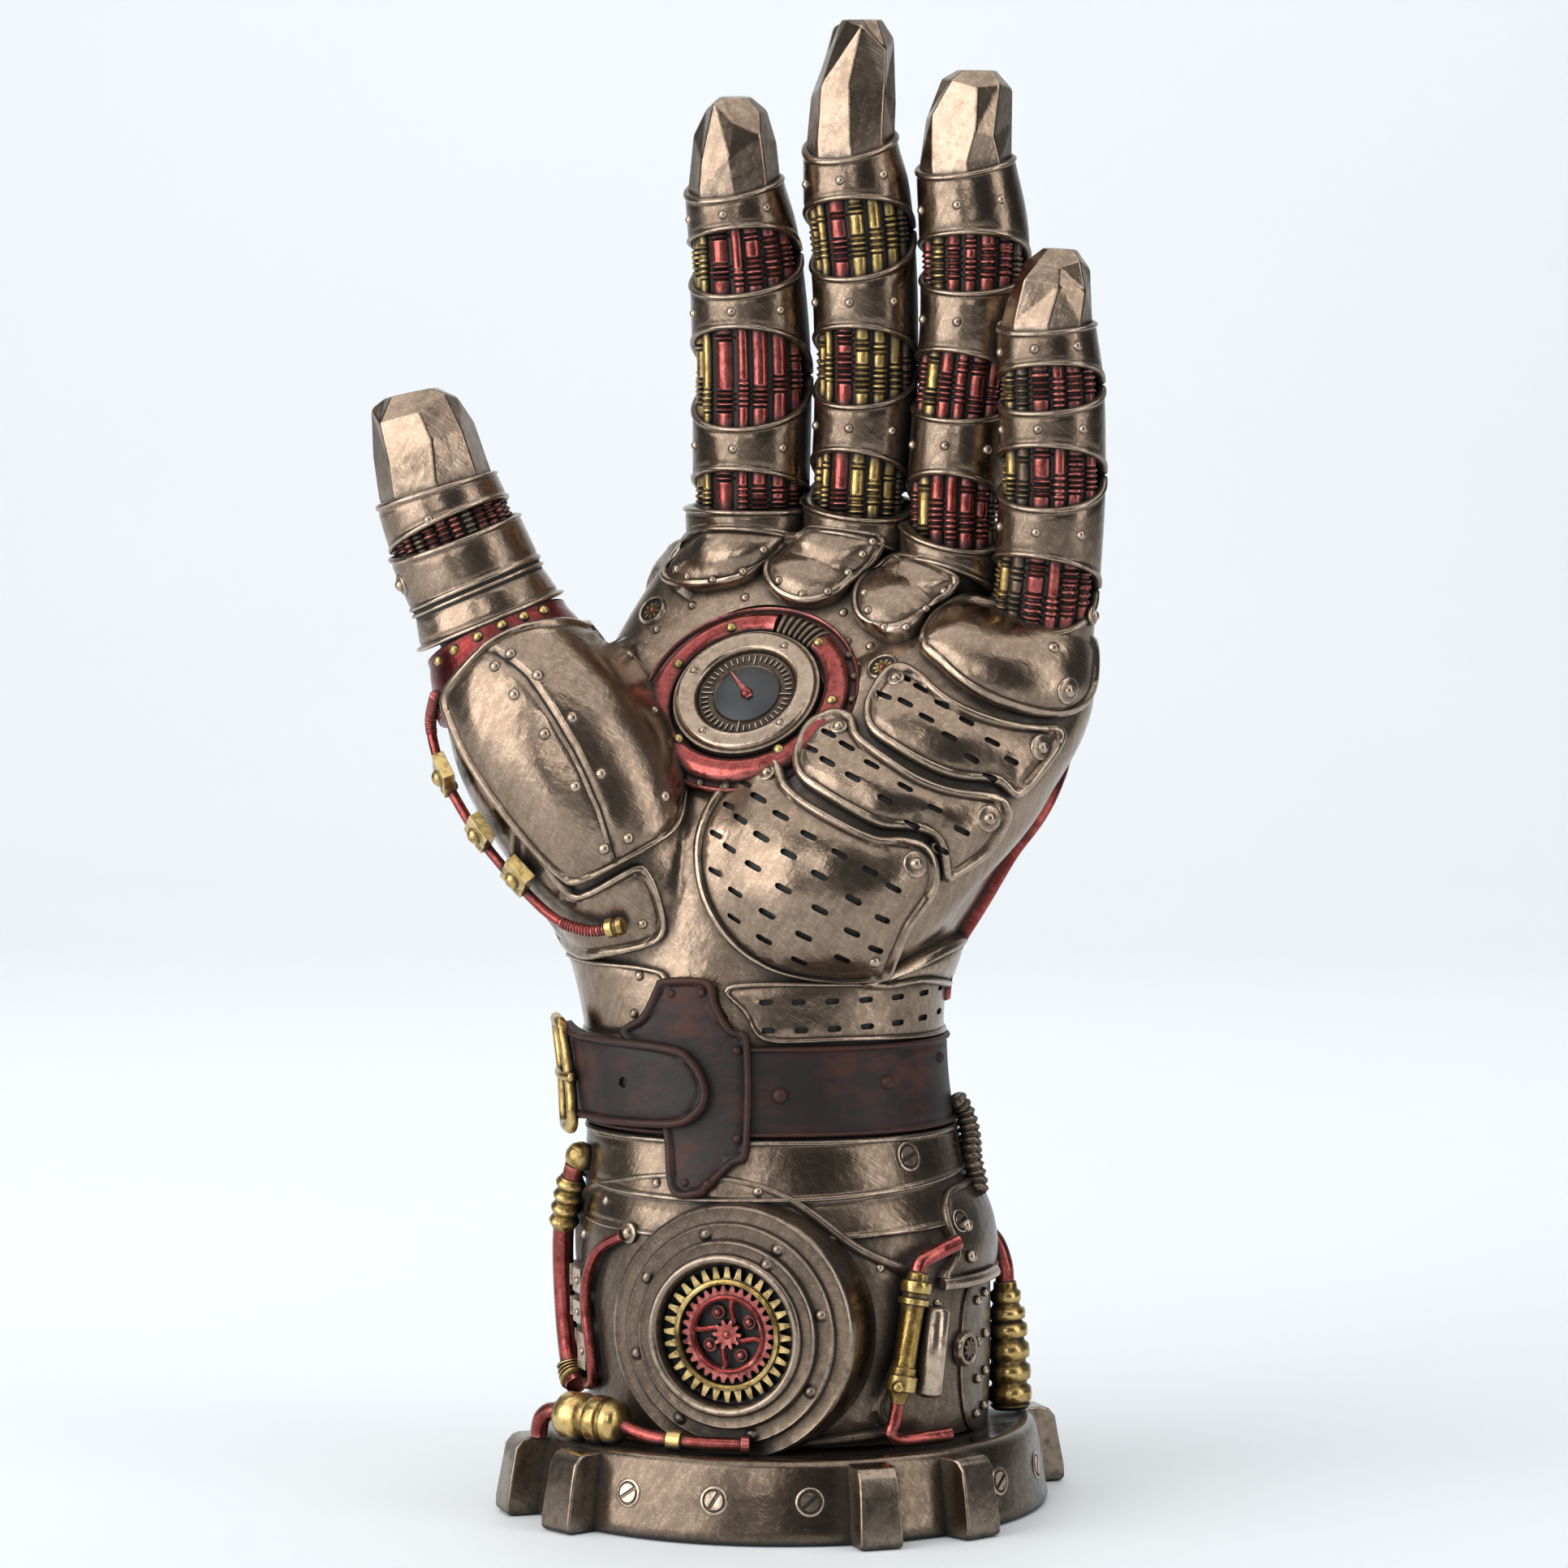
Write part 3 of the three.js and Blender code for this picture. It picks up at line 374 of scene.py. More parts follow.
def tube_rings(points, radius, sides=10):
    """Rings along a path; radius is a number or a function of the share of the path."""
    points = [Vector(p) for p in points]
    last = len(points) - 1
    rings = []
    side = Vector((0, -1, 0))
    for i, point in enumerate(points):
        axis = (points[min(i + 1, last)] - points[max(i - 1, 0)]).normalized()
        side = (side - axis * side.dot(axis)).normalized()
        other = axis.cross(side)
        r = radius(i / last) if callable(radius) else radius
        rings.append([point + (side * math.cos(a) + other * math.sin(a)) * r for a in full_turn(sides)])
    return rings


def smooth_path(points, spacing=0.6, closed=False):
    """A dense smooth path through points, evenly spaced."""
    pts = [np.array(p, float) for p in points]
    n = len(pts)
    dense = []
    for i in range(n if closed else n - 1):
        if closed:
            p0, p1, p2, p3 = (pts[(i + k) % n] for k in (-1, 0, 1, 2))
        else:
            p0, p1, p2, p3 = pts[max(i - 1, 0)], pts[i], pts[i + 1], pts[min(i + 2, n - 1)]
        for t in np.linspace(0, 1, 12, endpoint=False):
            m1, m2 = (p2 - p0) / 2, (p3 - p1) / 2
            h = t * t * (3 - 2 * t)
            dense.append(p1 * (1 - h) + p2 * h + m1 * t * (1 - t) ** 2 - m2 * t * t * (1 - t))
    dense.append(pts[0] if closed else pts[-1])
    dense = np.array(dense)
    lengths = np.concatenate([[0], np.cumsum(np.linalg.norm(np.diff(dense, axis=0), axis=1))])
    count = max(3, int(lengths[-1] / spacing))
    at = np.linspace(0, lengths[-1], count, endpoint=not closed)
    return np.stack([np.interp(at, lengths, dense[:, k]) for k in range(dense.shape[1])], 1)


# ---- finishes


class Wire:
    """A socket of a shader, with arithmetic that adds Math nodes."""

    def __init__(self, finish, socket):
        self.finish = finish
        self.socket = socket

    def _math(self, operation, *values):
        return self.finish.node("ShaderNodeMath", {"operation": operation}, dict(enumerate(values)))

    def __add__(self, other):
        return self._math("ADD", self, other)

    __radd__ = __add__

    def __sub__(self, other):
        return self._math("SUBTRACT", self, other)

    def __rsub__(self, other):
        return self._math("SUBTRACT", other, self)

    def __mul__(self, other):
        return self._math("MULTIPLY", self, other)

    __rmul__ = __mul__

    def smooth(self, low, high):
        """0 below low, 1 above high, and a smooth step between."""
        return self.finish.node(
            "ShaderNodeMapRange",
            {"interpolation_type": "SMOOTHSTEP"},
            {"Value": self, "From Min": low, "From Max": high},
        )


class Finish:
    """A procedural material under construction."""

    def __init__(self, name):
        self.material = bpy.data.materials.new(name)
        self.material.use_nodes = True
        self.tree = self.material.node_tree
        self.shader = self.tree.nodes["Principled BSDF"]

    def node(self, kind, settings=None, inputs=None, out=0):
        """Adds a node: its settings first, then the values or links of its inputs."""
        made = self.tree.nodes.new(kind)
        for key, value in (settings or {}).items():
            setattr(made, key, value)
        for key, value in (inputs or {}).items():
            self.join(value, made.inputs[key])
        return Wire(self, made.outputs[out])

    def join(self, value, socket):
        """Links a wire to a socket, or sets a plain value on it."""
        if isinstance(value, Wire):
            self.tree.links.new(value.socket, socket)
        elif isinstance(value, (tuple, list)) and len(value) == 3 and socket.type == "RGBA":
            socket.default_value = (*value, 1.0)
        else:
            socket.default_value = value

    def set(self, **values):
        """Wires up or sets sockets of the shader, named in small letters."""
        for key, value in values.items():
            self.join(value, self.shader.inputs[key.replace("_", " ").title()])

    def mix(self, factor, a, b):
        """A colour between two."""
        made = self.tree.nodes.new("ShaderNodeMix")
        made.data_type = "RGBA"
        for index, value in ((0, factor), (6, a), (7, b)):
            self.join(value, made.inputs[index])
        return Wire(self, made.outputs[2])

    def place(self, stretch=(1, 1, 1), turn=(0, 0, 0)):
        """Coordinates of the piece, in metres, turned and then stretched."""
        where = self.node("ShaderNodeTexCoord", out="Object")
        return self.node(
            "ShaderNodeMapping",
            {"vector_type": "TEXTURE"},
            {"Vector": where, "Rotation": [rad(t) for t in turn], "Scale": stretch},
        )

    def noise(self, size, detail=3.0, roughness=0.55, where=None):
        """Noise whose features are about size millimetres across."""
        inputs = {
            "Vector": where or self.place(), "Scale": 1000.0 / size, "Detail": detail, "Roughness": roughness
        }
        return self.node("ShaderNodeTexNoise", None, inputs)

    def bump(self, height, depth, strength=1.0, normal=None):
        """A normal from a height; depth is how deep a height of 1 is, in millimetres."""
        inputs = {"Height": height, "Distance": depth * MM, "Strength": strength}
        if normal:
            inputs["Normal"] = normal
        return self.node("ShaderNodeBump", None, inputs)

    def openness(self, distance):
        """1 where a surface is open and 0 deep in a corner."""
        return self.node(
            "ShaderNodeAmbientOcclusion", {"samples": 5}, {"Distance": distance * MM}, out="AO"
        )

    def ridges(self, low=0.5, high=0.56):
        """1 along sharp outer edges."""
        return self.node("ShaderNodeNewGeometry", out="Pointiness").smooth(low, high)


def metal_with_painted_shade(name, deep, body, bright, roughness=(0.14, 0.32), wash=3.0, grain=1.0, cover=(0.46, 0.93),
                 dull=0.78):
    """Old metal with painted shade in its corners, rubbed edges that also carry a painted highlight, stains
    and fine scratches.
    """
    f = Finish(name)
    clouds = f.noise(13, 4, 0.6)
    specks = f.noise(2.0, 4, 0.65)
    strokes = f.noise(1.3, 3, 0.6, f.place((1, 1, 6), (18, 24, 0)))
    hairs = f.noise(0.35, 2, 0.5, f.place((14, 1, 1), (0, 34, 12)))
    # corner is painted shade: where ambient occlusion finds the surface closed in, the colour turns to the
    # dark shade colour and the metal becomes less metallic.
    open_to_air = f.openness(wash)
    corner = 1 - (open_to_air + (specks - 0.5) * 0.3).smooth(*cover)
    # edge: sharp edges turned bright, partly rubbed wear and partly a painted highlight.
    edge = f.ridges(0.512, 0.57) * specks.smooth(0.25, 0.55)
    stain = (clouds * 0.45 + specks * 0.3 + strokes * 0.25).smooth(0.4, 0.6)
    rubbed = (strokes * 0.3 + hairs * 0.7).smooth(0.5, 0.68)
    colour = f.mix(stain, [dull * b for b in body], [1.12 * b for b in body])
    colour = f.mix(rubbed * 0.3, colour, bright)
    colour = f.mix(edge * 0.75, colour, bright)
    colour = f.mix(corner, colour, deep)
    low, high = roughness
    f.set(
        base_color=colour,
        metallic=1 - corner * 0.8,
        roughness=low + (high - low) * (specks * 0.5 + (1 - stain) * 0.5) + corner * 0.3,
    )
    swell = f.bump(f.noise(7, 2), 0.24 * grain)
    worked = f.bump(strokes * 0.5 + specks * 0.5, 0.085 * grain, normal=swell)
    f.set(normal=f.bump(hairs, 0.022 * grain, normal=worked))
    return f.material


def leather(name, deep, body, rubbed):
    """Dark leather with a fine grain, reddish places that are partly rubbed wear and partly a painted sheen,
    a painted highlight on sharp edges and painted shade in its corners.
    """
    f = Finish(name)
    pores = f.node("ShaderNodeTexVoronoi", {"feature": "F1"}, {"Vector": f.place(), "Scale": 1300.0})
    clouds = f.noise(14, 4, 0.6)
    streaks = f.noise(2.5, 3, 0.6, f.place((8, 1, 1)))
    # Painted shade in the corners, from ambient occlusion.
    corner = 1 - f.openness(3.0).smooth(0.35, 0.85)
    # Reddish patches: partly rubbed wear and partly a painted sheen.
    colour = f.mix((clouds * 0.6 + streaks * 0.4).smooth(0.45, 0.68), body, rubbed)
    # A painted highlight along sharp edges, in the reddish colour.
    colour = f.mix(f.ridges(0.51, 0.56) * 0.6, colour, rubbed)
    colour = f.mix(corner * 0.85, colour, deep)
    f.set(base_color=colour, roughness=0.4 + clouds * 0.2, metallic=0.0)
    f.shader.inputs["Specular IOR Level"].default_value = 0.3
    grain = f.bump(pores, 0.05, 0.6)
    f.set(normal=f.bump(clouds * 0.7 + streaks * 0.3, 0.35, 0.7, grain))
    return f.material


def plain(name, colour, roughness):
    """A dark filling with a little unevenness."""
    f = Finish(name)
    specks = f.noise(1.2, 3)
    f.set(
        base_color=f.mix(specks, [0.7 * c for c in colour], colour),
        roughness=roughness + specks * 0.15,
        normal=f.bump(specks, 0.08),
    )
    return f.material


def studio_floor(name, colour):
    """A pale, slightly soft floor."""
    f = Finish(name)
    clouds = f.noise(300, 2)
    f.set(base_color=f.mix(clouds, [0.97 * c for c in colour], colour), roughness=0.55 + clouds * 0.05)
    return f.material


# Metals: the material's name, the settings of its two colours with a share of each, and its look. The smaller
# shares of the shell and the stand are painted shade: they darken the lower parts, the cuff, the boss and the
# stand.
METALS = {
    "bronze": ("antique_bronze", ("bronze", 1), ("bronze_bright", 1), {}),
    "finger": ("antique_bronze_fingers", ("bronze", 0.72), ("bronze_bright", 0.85), {"wash": 3.5}),
    "shell": ("antique_bronze_shell", ("bronze", 0.56), ("bronze_bright", 0.66),
              {"roughness": (0.18, 0.36), "wash": 5.0}),
    "stand": ("antique_bronze_stand", ("bronze", 0.52), ("bronze_bright", 0.62),
              {"roughness": (0.16, 0.32), "wash": 4.0, "grain": 0.7}),
    "dark": ("blackened_bronze", ("bronze", 0.3), ("bronze", 1), {"roughness": (0.25, 0.45), "wash": 2.0}),
    "red": ("red_copper", ("red", 1), ("red_bright", 1),
            {"roughness": (0.16, 0.32), "wash": 2.4, "cover": (0.56, 1.0), "dull": 0.62}),
    "gold": ("old_gold", ("gold", 1), ("gold_bright", 1),
             {"roughness": (0.18, 0.36), "wash": 2.6, "grain": 1.2, "cover": (0.6, 1.0), "dull": 0.42}),
}
# Dark fillings: the material's name, colour and roughness. The black one is painted shade in slots, holes,
# grooves and recesses.
FILLINGS = {
    "black": ("black_wash", (0.012, 0.01, 0.009), 0.55),
    "slate": ("slate_enamel", (0.028, 0.03, 0.032), 0.35),
}
FINISHES = {}  # the materials made so far


def new_finish(kind):
    """Makes a material from the colour settings."""
    settings = bpy.context.scene.gauntlet_colours

    def colour(name, share=1):
        return tuple(share * value for value in getattr(settings, name))

    if kind in METALS:
        name, body_colour, bright, look = METALS[kind]
        return metal_with_painted_shade(name, colour("wash"), colour(*body_colour), colour(*bright), **look)
    if kind in FILLINGS:
        return plain(*FILLINGS[kind])
    return leather("strap_leather", colour("wash"), colour("leather"), colour("leather_rubbed_and_sheen"))


def finish(*kinds):
    """Materials by kind, each made when it is first used."""
    for kind in kinds:
        if kind not in FINISHES:
            FINISHES[kind] = new_finish(kind)
    return [FINISHES[kind] for kind in kinds]


# ---- settings


def colour_setting(name, description, default):
    """A colour that the panel shows."""
    return FloatVectorProperty(
        name=name, description=description, default=default, size=3, min=0, max=1, subtype="COLOR"
    )


def length_setting(name, description, default):
    """A length in metres that the panel shows."""
    return FloatProperty(name=name, description=description, default=default, min=0, unit="LENGTH")


class GauntletColours(bpy.types.PropertyGroup):
    """Colours of the gauntlet and its floor."""

    # The colour of the painted shade in corners and creases of the metal and the leather.
    wash: colour_setting("Wash", "Dark wash in the corners", (0.012, 0.009, 0.007))
    bronze: colour_setting("Bronze", "Body colour of the armour", (0.27, 0.197, 0.142))
    # The bright colours go on fine rubbed scratches and, as a painted highlight, on sharp edges.
    bronze_bright: colour_setting("Bright bronze", "Rubbed places of the armour", (0.62, 0.49, 0.38))
    red: colour_setting("Red", "Red rods, pipes and rings", (0.2, 0.026, 0.025))
    red_bright: colour_setting("Bright red", "Rubbed places of the red metal", (0.62, 0.2, 0.17))
    gold: colour_setting("Gold", "Gold rods and fittings", (0.36, 0.225, 0.062))
    gold_bright: colour_setting("Bright gold", "Rubbed places of the gold", (0.78, 0.57, 0.24))
    leather: colour_setting("Leather", "Strap", (0.016, 0.0105, 0.0097))
    # The strap's reddish colour: partly rubbed wear, partly a painted sheen and highlight.
    leather_rubbed_and_sheen: colour_setting("Rubbed leather", "Rubbed places of the strap", (0.06, 0.018, 0.012))
    floor: colour_setting("Floor", "Studio floor and backdrop", (0.857, 0.892, 0.91))


class GauntletSizes(bpy.types.PropertyGroup):
    """Sizes of the trim, in metres."""

    rivet: length_setting("Rivet", "Radius of a rivet's head", 0.00112)
    rim: length_setting("Rim", "Radius of the rolled rim of a plate", 0.0008)
    slot_length: length_setting("Slot length", "Length of a breathing slot", 0.0033)
    slot_width: length_setting("Slot width", "Width of a breathing slot", 0.00105)


# ---- the smooth body and what lies on it


class Body:
    """The smooth form of the arm and hand, and the places on it that trim is put on."""

    VOXEL = 1.0
    OUTSIDE = 150.0  # a distance at which a ray starts clear of the body

    def __init__(self):
        shape = Shape()
        heights = list(np.arange(12, 178, 3.0)) + [178, 180.5, 182, 183]
        shape.rings([[arm_point(z, a) for a in full_turn(120)] for z in heights])
        for limb in (ROOT, HEEL):
            shape.rings(limb.skin(np.linspace(0, limb.rows[-1][0], 26), 64))
        for name, limb in FINGER_LIMBS.items():
            foot, collar = limb.rows[0][0], FINGERS[name]["collar"]
            top = collar[1] - 0.6 if collar else foot + 6
            shape.rings(limb.skin(np.linspace(foot, top, 8), 32, -2.6))
        form = shape.tool("form")
        solid = form.modifiers.new("solid", "REMESH")
        solid.mode = "VOXEL"
        solid.voxel_size = self.VOXEL * MM
        soft = form.modifiers.new("soft", "SMOOTH")
        soft.factor = 0.5
        soft.iterations = 14
        evaluated = form.evaluated_get(bpy.context.evaluated_depsgraph_get())
        self.mesh = bpy.data.meshes.new_from_object(evaluated)
        rough = form.data
        bpy.data.objects.remove(form)
        bpy.data.meshes.remove(rough)
        self.points = [v.co / MM for v in self.mesh.vertices]
        self.tree = BVHTree.FromPolygons(self.points, [tuple(p.vertices) for p in self.mesh.polygons])

    def front(self, x, z, side=-1):
        """The body's point in front of (side -1) or behind (side 1) a place, looking along Y."""
        hit = self.tree.ray_cast(Vector((x, side * self.OUTSIDE, z)), Vector((0, -side, 0)))
        if hit[0] is not None:
            return hit[0]
        return self.tree.find_nearest(Vector((x, 0.0, z)))[0]

    def around(self, angle, z):
        """The body's point at an angle about the arm's middle."""
        _, cx, cy, *_ = row_at(ARM, z)
        out = Vector((math.sin(angle), -math.cos(angle), 0))
        hit = self.tree.ray_cast(Vector((cx, cy, z)) + out * self.OUTSIDE, -out)
        return hit[0] if hit[0] is not None else arm_point(z, angle)


BODY = {}  # holds the smooth body once it is made
ARMOUR = []  # pieces that rivets are set on


def body():
    """The smooth body, made when it is first asked for."""
    if "form" not in BODY:
        BODY["form"] = Body()
    return BODY["form"]


ARM_REACH = 36.0  # millimetres along the arm's girth for one radian
ROW_SPACING = 0.87  # of the grid, so that three points make an even triangle
ON_EDGE = 1e-4  # a point nearer than this lies on a line


def on_front(u, v):
    return body().front(u, v)


def on_back(u, v):
    return body().front(u, v, 1)


def on_arm(u, v):
    return body().around(u / ARM_REACH, v)


def girth(*points):
    """Places given as degrees about the arm and height, as millimetres of girth and height."""
    return [(rad(angle) * ARM_REACH, z) for angle, z in points]


def inward(border, distance):
    """A closed line moved inwards."""
    ahead, behind = np.roll(border, -1, 0), np.roll(border, 1, 0)
    along = ahead - behind
    along /= np.maximum(np.linalg.norm(along, axis=1), 1e-9)[:, None]
    normal = np.stack([-along[:, 1], along[:, 0]], 1)
    area = np.sum(border[:, 0] * ahead[:, 1] - ahead[:, 0] * border[:, 1])
    return border + normal * (distance if area > 0 else -distance)


def away_from(points, border, closed=True):
    """How far points are from a line."""
    a, b = (border, np.roll(border, -1, 0)) if closed else (border[:-1], border[1:])
    d = b - a
    size = np.maximum((d * d).sum(1), 1e-12)
    t = np.clip(((points[:, None] - a[None]) * d[None]).sum(2) / size[None], 0, 1)
    near = a[None] + t[..., None] * d[None]
    return np.sqrt(((points[:, None] - near) ** 2).sum(2).min(1))


def inside(points, border):
    """Which points are inside a closed line."""
    x, y = points[:, 0][:, None], points[:, 1][:, None]
    ax, ay = border[:, 0][None], border[:, 1][None]
    bx, by = np.roll(border[:, 0], -1)[None], np.roll(border[:, 1], -1)[None]
    crosses = (ay > y) != (by > y)
    with np.errstate(divide="ignore", invalid="ignore"):
        at = ax + (y - ay) / (by - ay) * (bx - ax)
    return (crosses & (x < at)).sum(1) % 2 == 1


def slot_outline(u, v, tilt, length, width):
    """A slot with round ends, as a closed line."""
    half = (length - width) / 2
    c, s = math.cos(rad(tilt)), math.sin(rad(tilt))
    points = []
    for centre, start in ((half, -90), (-half, 90)):
        for a in (0, 60, 120, 180):
            x = centre + width / 2 * math.cos(rad(start + a))
            y = width / 2 * math.sin(rad(start + a))
            points.append((u + x * c - y * s, v + x * s + y * c))
    return np.array(points)


def rim_rings(border, rim):
    """The border and the lines inside it that a rolled or a plain edge needs."""
    steps = [rim * k for k in (0.0, 0.14, 0.42, 0.85, 1.4, 1.85, 2.2, 2.7)] if rim else [0.0, 0.25, 0.7, 1.3]
    rings = [border]
    for before, after in zip(steps, steps[1:]):
        moved = inward(rings[-1], after - before)
        rings.append(0.5 * moved + 0.25 * (np.roll(moved, 1, 0) + np.roll(moved, -1, 0)))
    return rings


def beside_seams(seams, edge):
    """Lines of points along both sides of each seam, as far as they are inside an edge."""
    lines = []
    for seam in seams:
        line = smooth_path(seam, 1.0)
        along = np.gradient(line, axis=0)
        across = np.stack([-along[:, 1], along[:, 0]], 1) / np.linalg.norm(along, axis=1)[:, None]
        for offset in (-1.1, -0.55, -0.2, 0.2, 0.55, 1.1):
            shifted = line + across * offset
            lines.append(shifted[inside(shifted, edge)])
    return lines


def field_points(border, edge, collars, seam_lines, grid):
    """Staggered rows of points inside an edge, clear of the edge, the cuts and the seams."""
    low, high = border.min(0), border.max(0)
    us, vs = np.arange(low[0], high[0], grid), np.arange(low[1], high[1], grid * ROW_SPACING)
    field = np.array([(u + (grid / 2 if k % 2 else 0), v) for k, v in enumerate(vs) for u in us])
    field = field[inside(field, edge)]
    if len(field):
        field = field[away_from(field, edge) > grid * 0.45]
    for collar in collars:
        if len(field):
            field = field[~inside(field, collar)]
            field = field[away_from(field, collar) > 0.25]
    if len(field) and seam_lines:
        field = field[np.min([away_from(field, line, False) for line in seam_lines], axis=0) > 0.5]
    return field


def triangulated(seam_lines, rings, cuts, collars, field):
    """Points and triangles of a flat plate, and for each triangle the last cut it lies in, or 0."""
    verts, edges, faces = [], [], []
    for line in seam_lines:
        edges.extend((len(verts) + i, len(verts) + i + 1) for i in range(len(line) - 1))
        verts.extend(Vector(p) for p in line)
    for k, line in enumerate(rings + cuts + collars):
        start = len(verts)
        verts.extend(Vector(p) for p in line)
        loop = [start + i for i in range(len(line))]
        if k == 0 or len(rings) <= k < len(rings) + len(cuts):
            faces.append(loop)
        else:
            edges.extend(zip(loop, loop[1:] + loop[:1]))
    verts.extend(Vector(p) for p in field)
    flat, _, cells, _, _, origin = delaunay_2d_cdt(verts, edges, faces, 1, 1e-5)
    return np.array([tuple(p) for p in flat]), cells, [max(within, default=0) for within in origin]


def unit(rows):
    """Vectors in rows, each made one long."""
    return rows / np.maximum(np.linalg.norm(rows, axis=1), 1e-12)[:, None]


class Neighbours:
    """The neighbours of each point of a mesh, to take means over."""

    def __init__(self, cells, count):
        links = [set() for _ in range(count)]
        for cell in cells:
            for i, a in enumerate(cell):
                links[a].add(cell[i - 1])
                links[cell[i - 1]].add(a)
        self.first = np.array([a for a, near in enumerate(links) for _ in near])
        self.second = np.array([b for near in links for b in near])
        self.counts = np.maximum(np.bincount(self.first, minlength=count), 1)[:, None]

    def mean(self, values):
        total = np.zeros_like(values)
        np.add.at(total, self.first, values[self.second])
        return total / self.counts


def ground(flat, cells, surface):
    """Where each point of a flat plate lies on the softened body, and the body's normal there."""
    raw = np.array([tuple(surface(u, v)) for u, v in flat])
    near = Neighbours(cells, len(flat))
    base = raw
    for _ in range(8):
        base = 0.5 * base + 0.5 * near.mean(base)
    normals = np.zeros_like(base)
    for cell in cells:
        a, b, c = base[list(cell[:3])]
        n = np.cross(b - a, c - a)
        for i in cell:
            normals[i] += n
    if surface is on_arm:
        outward = base - np.array([0, 4.0, 0])
    else:
        outward = np.array([0, 1.0 if surface is on_back else -1.0, 0])
    if (normals * outward)[:, :2].sum() < 0:
        normals = -normals
    normals = unit(normals)
    for _ in range(3):
        normals = unit(normals + near.mean(normals))
    return raw + normals * ((base - raw) * normals).sum(1)[:, None], normals


def relief(distance, rim, seam_distances):
    """The height of a plate's rim and seams over its field; distance is from the border."""
    height = np.zeros(len(distance))
    for d in seam_distances:
        height -= 0.85 * np.exp(-((d / 0.42) ** 2)) * np.clip((distance - rim) / rim, 0, 1)
        height += 0.12 * np.exp(-(((d - 0.9) / 0.4) ** 2))
    if rim:
        height += 1.15 * rim * np.sqrt(np.clip(1 - ((distance - rim) / rim) ** 2, 0, 1))
        height -= 0.35 * rim * np.exp(-(((distance - 2.35 * rim) / (0.35 * rim)) ** 2))
    else:
        height -= 0.25 * np.clip(1 - distance / 0.7, 0, 1) ** 2
    return height


def plate(name, outline, lift, surface=on_front, dome=0.0, dome_reach=12.0, rim=0.8,
          holes=(), grid=1.35, hole_depth=1.0, finishes=("bronze", "black"), replaces=(), foot=-0.8,
          tilt=0.0, seams=(), windows=()):
    """A plate that follows the body: a rolled rim, a domed field and slots cut into it.

    lift is how far it stands off the body and foot how far its edge reaches down; tilt raises its
    upper edge more than its lower one. Holes have a floor and windows are open.
    """
    border = smooth_path(outline, 1.1, closed=True)
    rings = rim_rings(border, rim)
    cuts = [np.array(h) for h in (*holes, *windows)]
    collars = [inward(h, -0.3) for h in cuts]
    seam_lines = beside_seams(seams, rings[-1])
    field = field_points(border, rings[-1], collars, seam_lines, grid)
    flat, cells, cut_of = triangulated(seam_lines, rings, cuts, collars, field)
    base, normals = ground(flat, cells, surface)
    distance = away_from(flat, border)
    seam_distances = [away_from(flat, smooth_path(seam, 1.0), closed=False) for seam in seams]
    low, high = border.min(0), border.max(0)
    height = lift + dome * (1 - (1 - np.clip(distance / dome_reach, 0, 1)) ** 2)
    height += tilt * (flat[:, 1] - low[1]) / (high[1] - low[1])
    height += relief(distance, rim, seam_distances)

    shape = Shape()
    kept = [cell for cell, cut in zip(cells, cut_of) if not cut]
    shape.add(base + normals * height[:, None], kept)
    if seams:
        # The seam's groove is black, painted shade.
        groove = np.min(seam_distances, axis=0)
        shape.finishes = [1 if groove[list(cell)].max() < 0.3 else 0 for cell in kept]
    wall = {}

    def lowered(i, depth):
        if (i, depth) not in wall:
            wall[(i, depth)] = len(shape.points)
            shape.points.append(tuple(base[i] + normals[i] * depth))
        return wall[(i, depth)]

    sides = {(a, cell[(i + 1) % len(cell)]): None for cell in kept for i, a in enumerate(cell)}
    window_edge = away_from(flat, cuts[-1]) if windows else np.full(len(flat), 1.0)
    floor = [float(value - hole_depth) for value in height]
    # Open edges at the border and at windows get bronze walls down to the foot; the walls of holes, and their
    # floors below, are black, painted shade in the slots.
    for a, b in [pair for pair in sides if (pair[1], pair[0]) not in sides]:
        if max(distance[a], distance[b]) < ON_EDGE or max(window_edge[a], window_edge[b]) < ON_EDGE:
            shape.faces.append((b, a, lowered(a, foot), lowered(b, foot)))
            shape.finishes.append(0)
        else:
            shape.faces.append((b, a, lowered(a, floor[a]), lowered(b, floor[b])))
            shape.finishes.append(1)
    for cell, cut in zip(cells, cut_of):
        if 0 < cut <= len(holes):
            shape.faces.append(tuple(lowered(i, floor[i]) for i in cell))
            shape.finishes.append(1)
    piece = shape.make(name, finish(*finishes), replaces, flat_over=50)
    ARMOUR.append(piece)
    return piece


def band(shape, point, low, high, thick=1.5, sides=72, rim=0.42, steps=5, grow=0.0):
    """A closed ring round a limb with beads along both edges; low and high vary with the angle."""
    bead = [(0, -0.35), (0.1, 0.05), (0.32, 0.8), (0.6, 1.0), (0.88, 0.8), (1.1, 0.0), (1.35, -0.35),
            (1.8, 0.0)]
    edge = bead[-1][0]
    angles = full_turn(sides)
    spans = []
    for a in angles:
        lo, hi = low(a), high(a)
        spans.append((lo, hi, min(1, (hi - lo) / 4.2)))
    rows = [[(lo + d * narrow, h * rim) for lo, hi, narrow in spans] for d, h in bead]
    for t in np.linspace(0, 1, steps + 2)[1:-1]:
        rows.append([
            (lo + edge * narrow + (hi - lo - 2 * edge * narrow) * t, 0.0) for lo, hi, narrow in spans
        ])
    rows += [[(hi - d * narrow, h * rim) for lo, hi, narrow in spans] for d, h in reversed(bead)]
    rows.append([(hi, -thick) for lo, hi, narrow in spans])
    rows.append([(lo, -thick) for lo, hi, narrow in spans])
    shape.rings([[point(s, a, grow + g) for (s, g), a in zip(row, angles)] for row in rows], joined=True)


def armour_band(name, point, low, high, kind="finger", replaces=(), slot="bronze", **form):
    """A band as a piece of its own, that rivets may sit on."""
    shape = Shape()
    band(shape, point, low, high, **form)
    ARMOUR.append(shape.make(name, finish(kind), replaces))


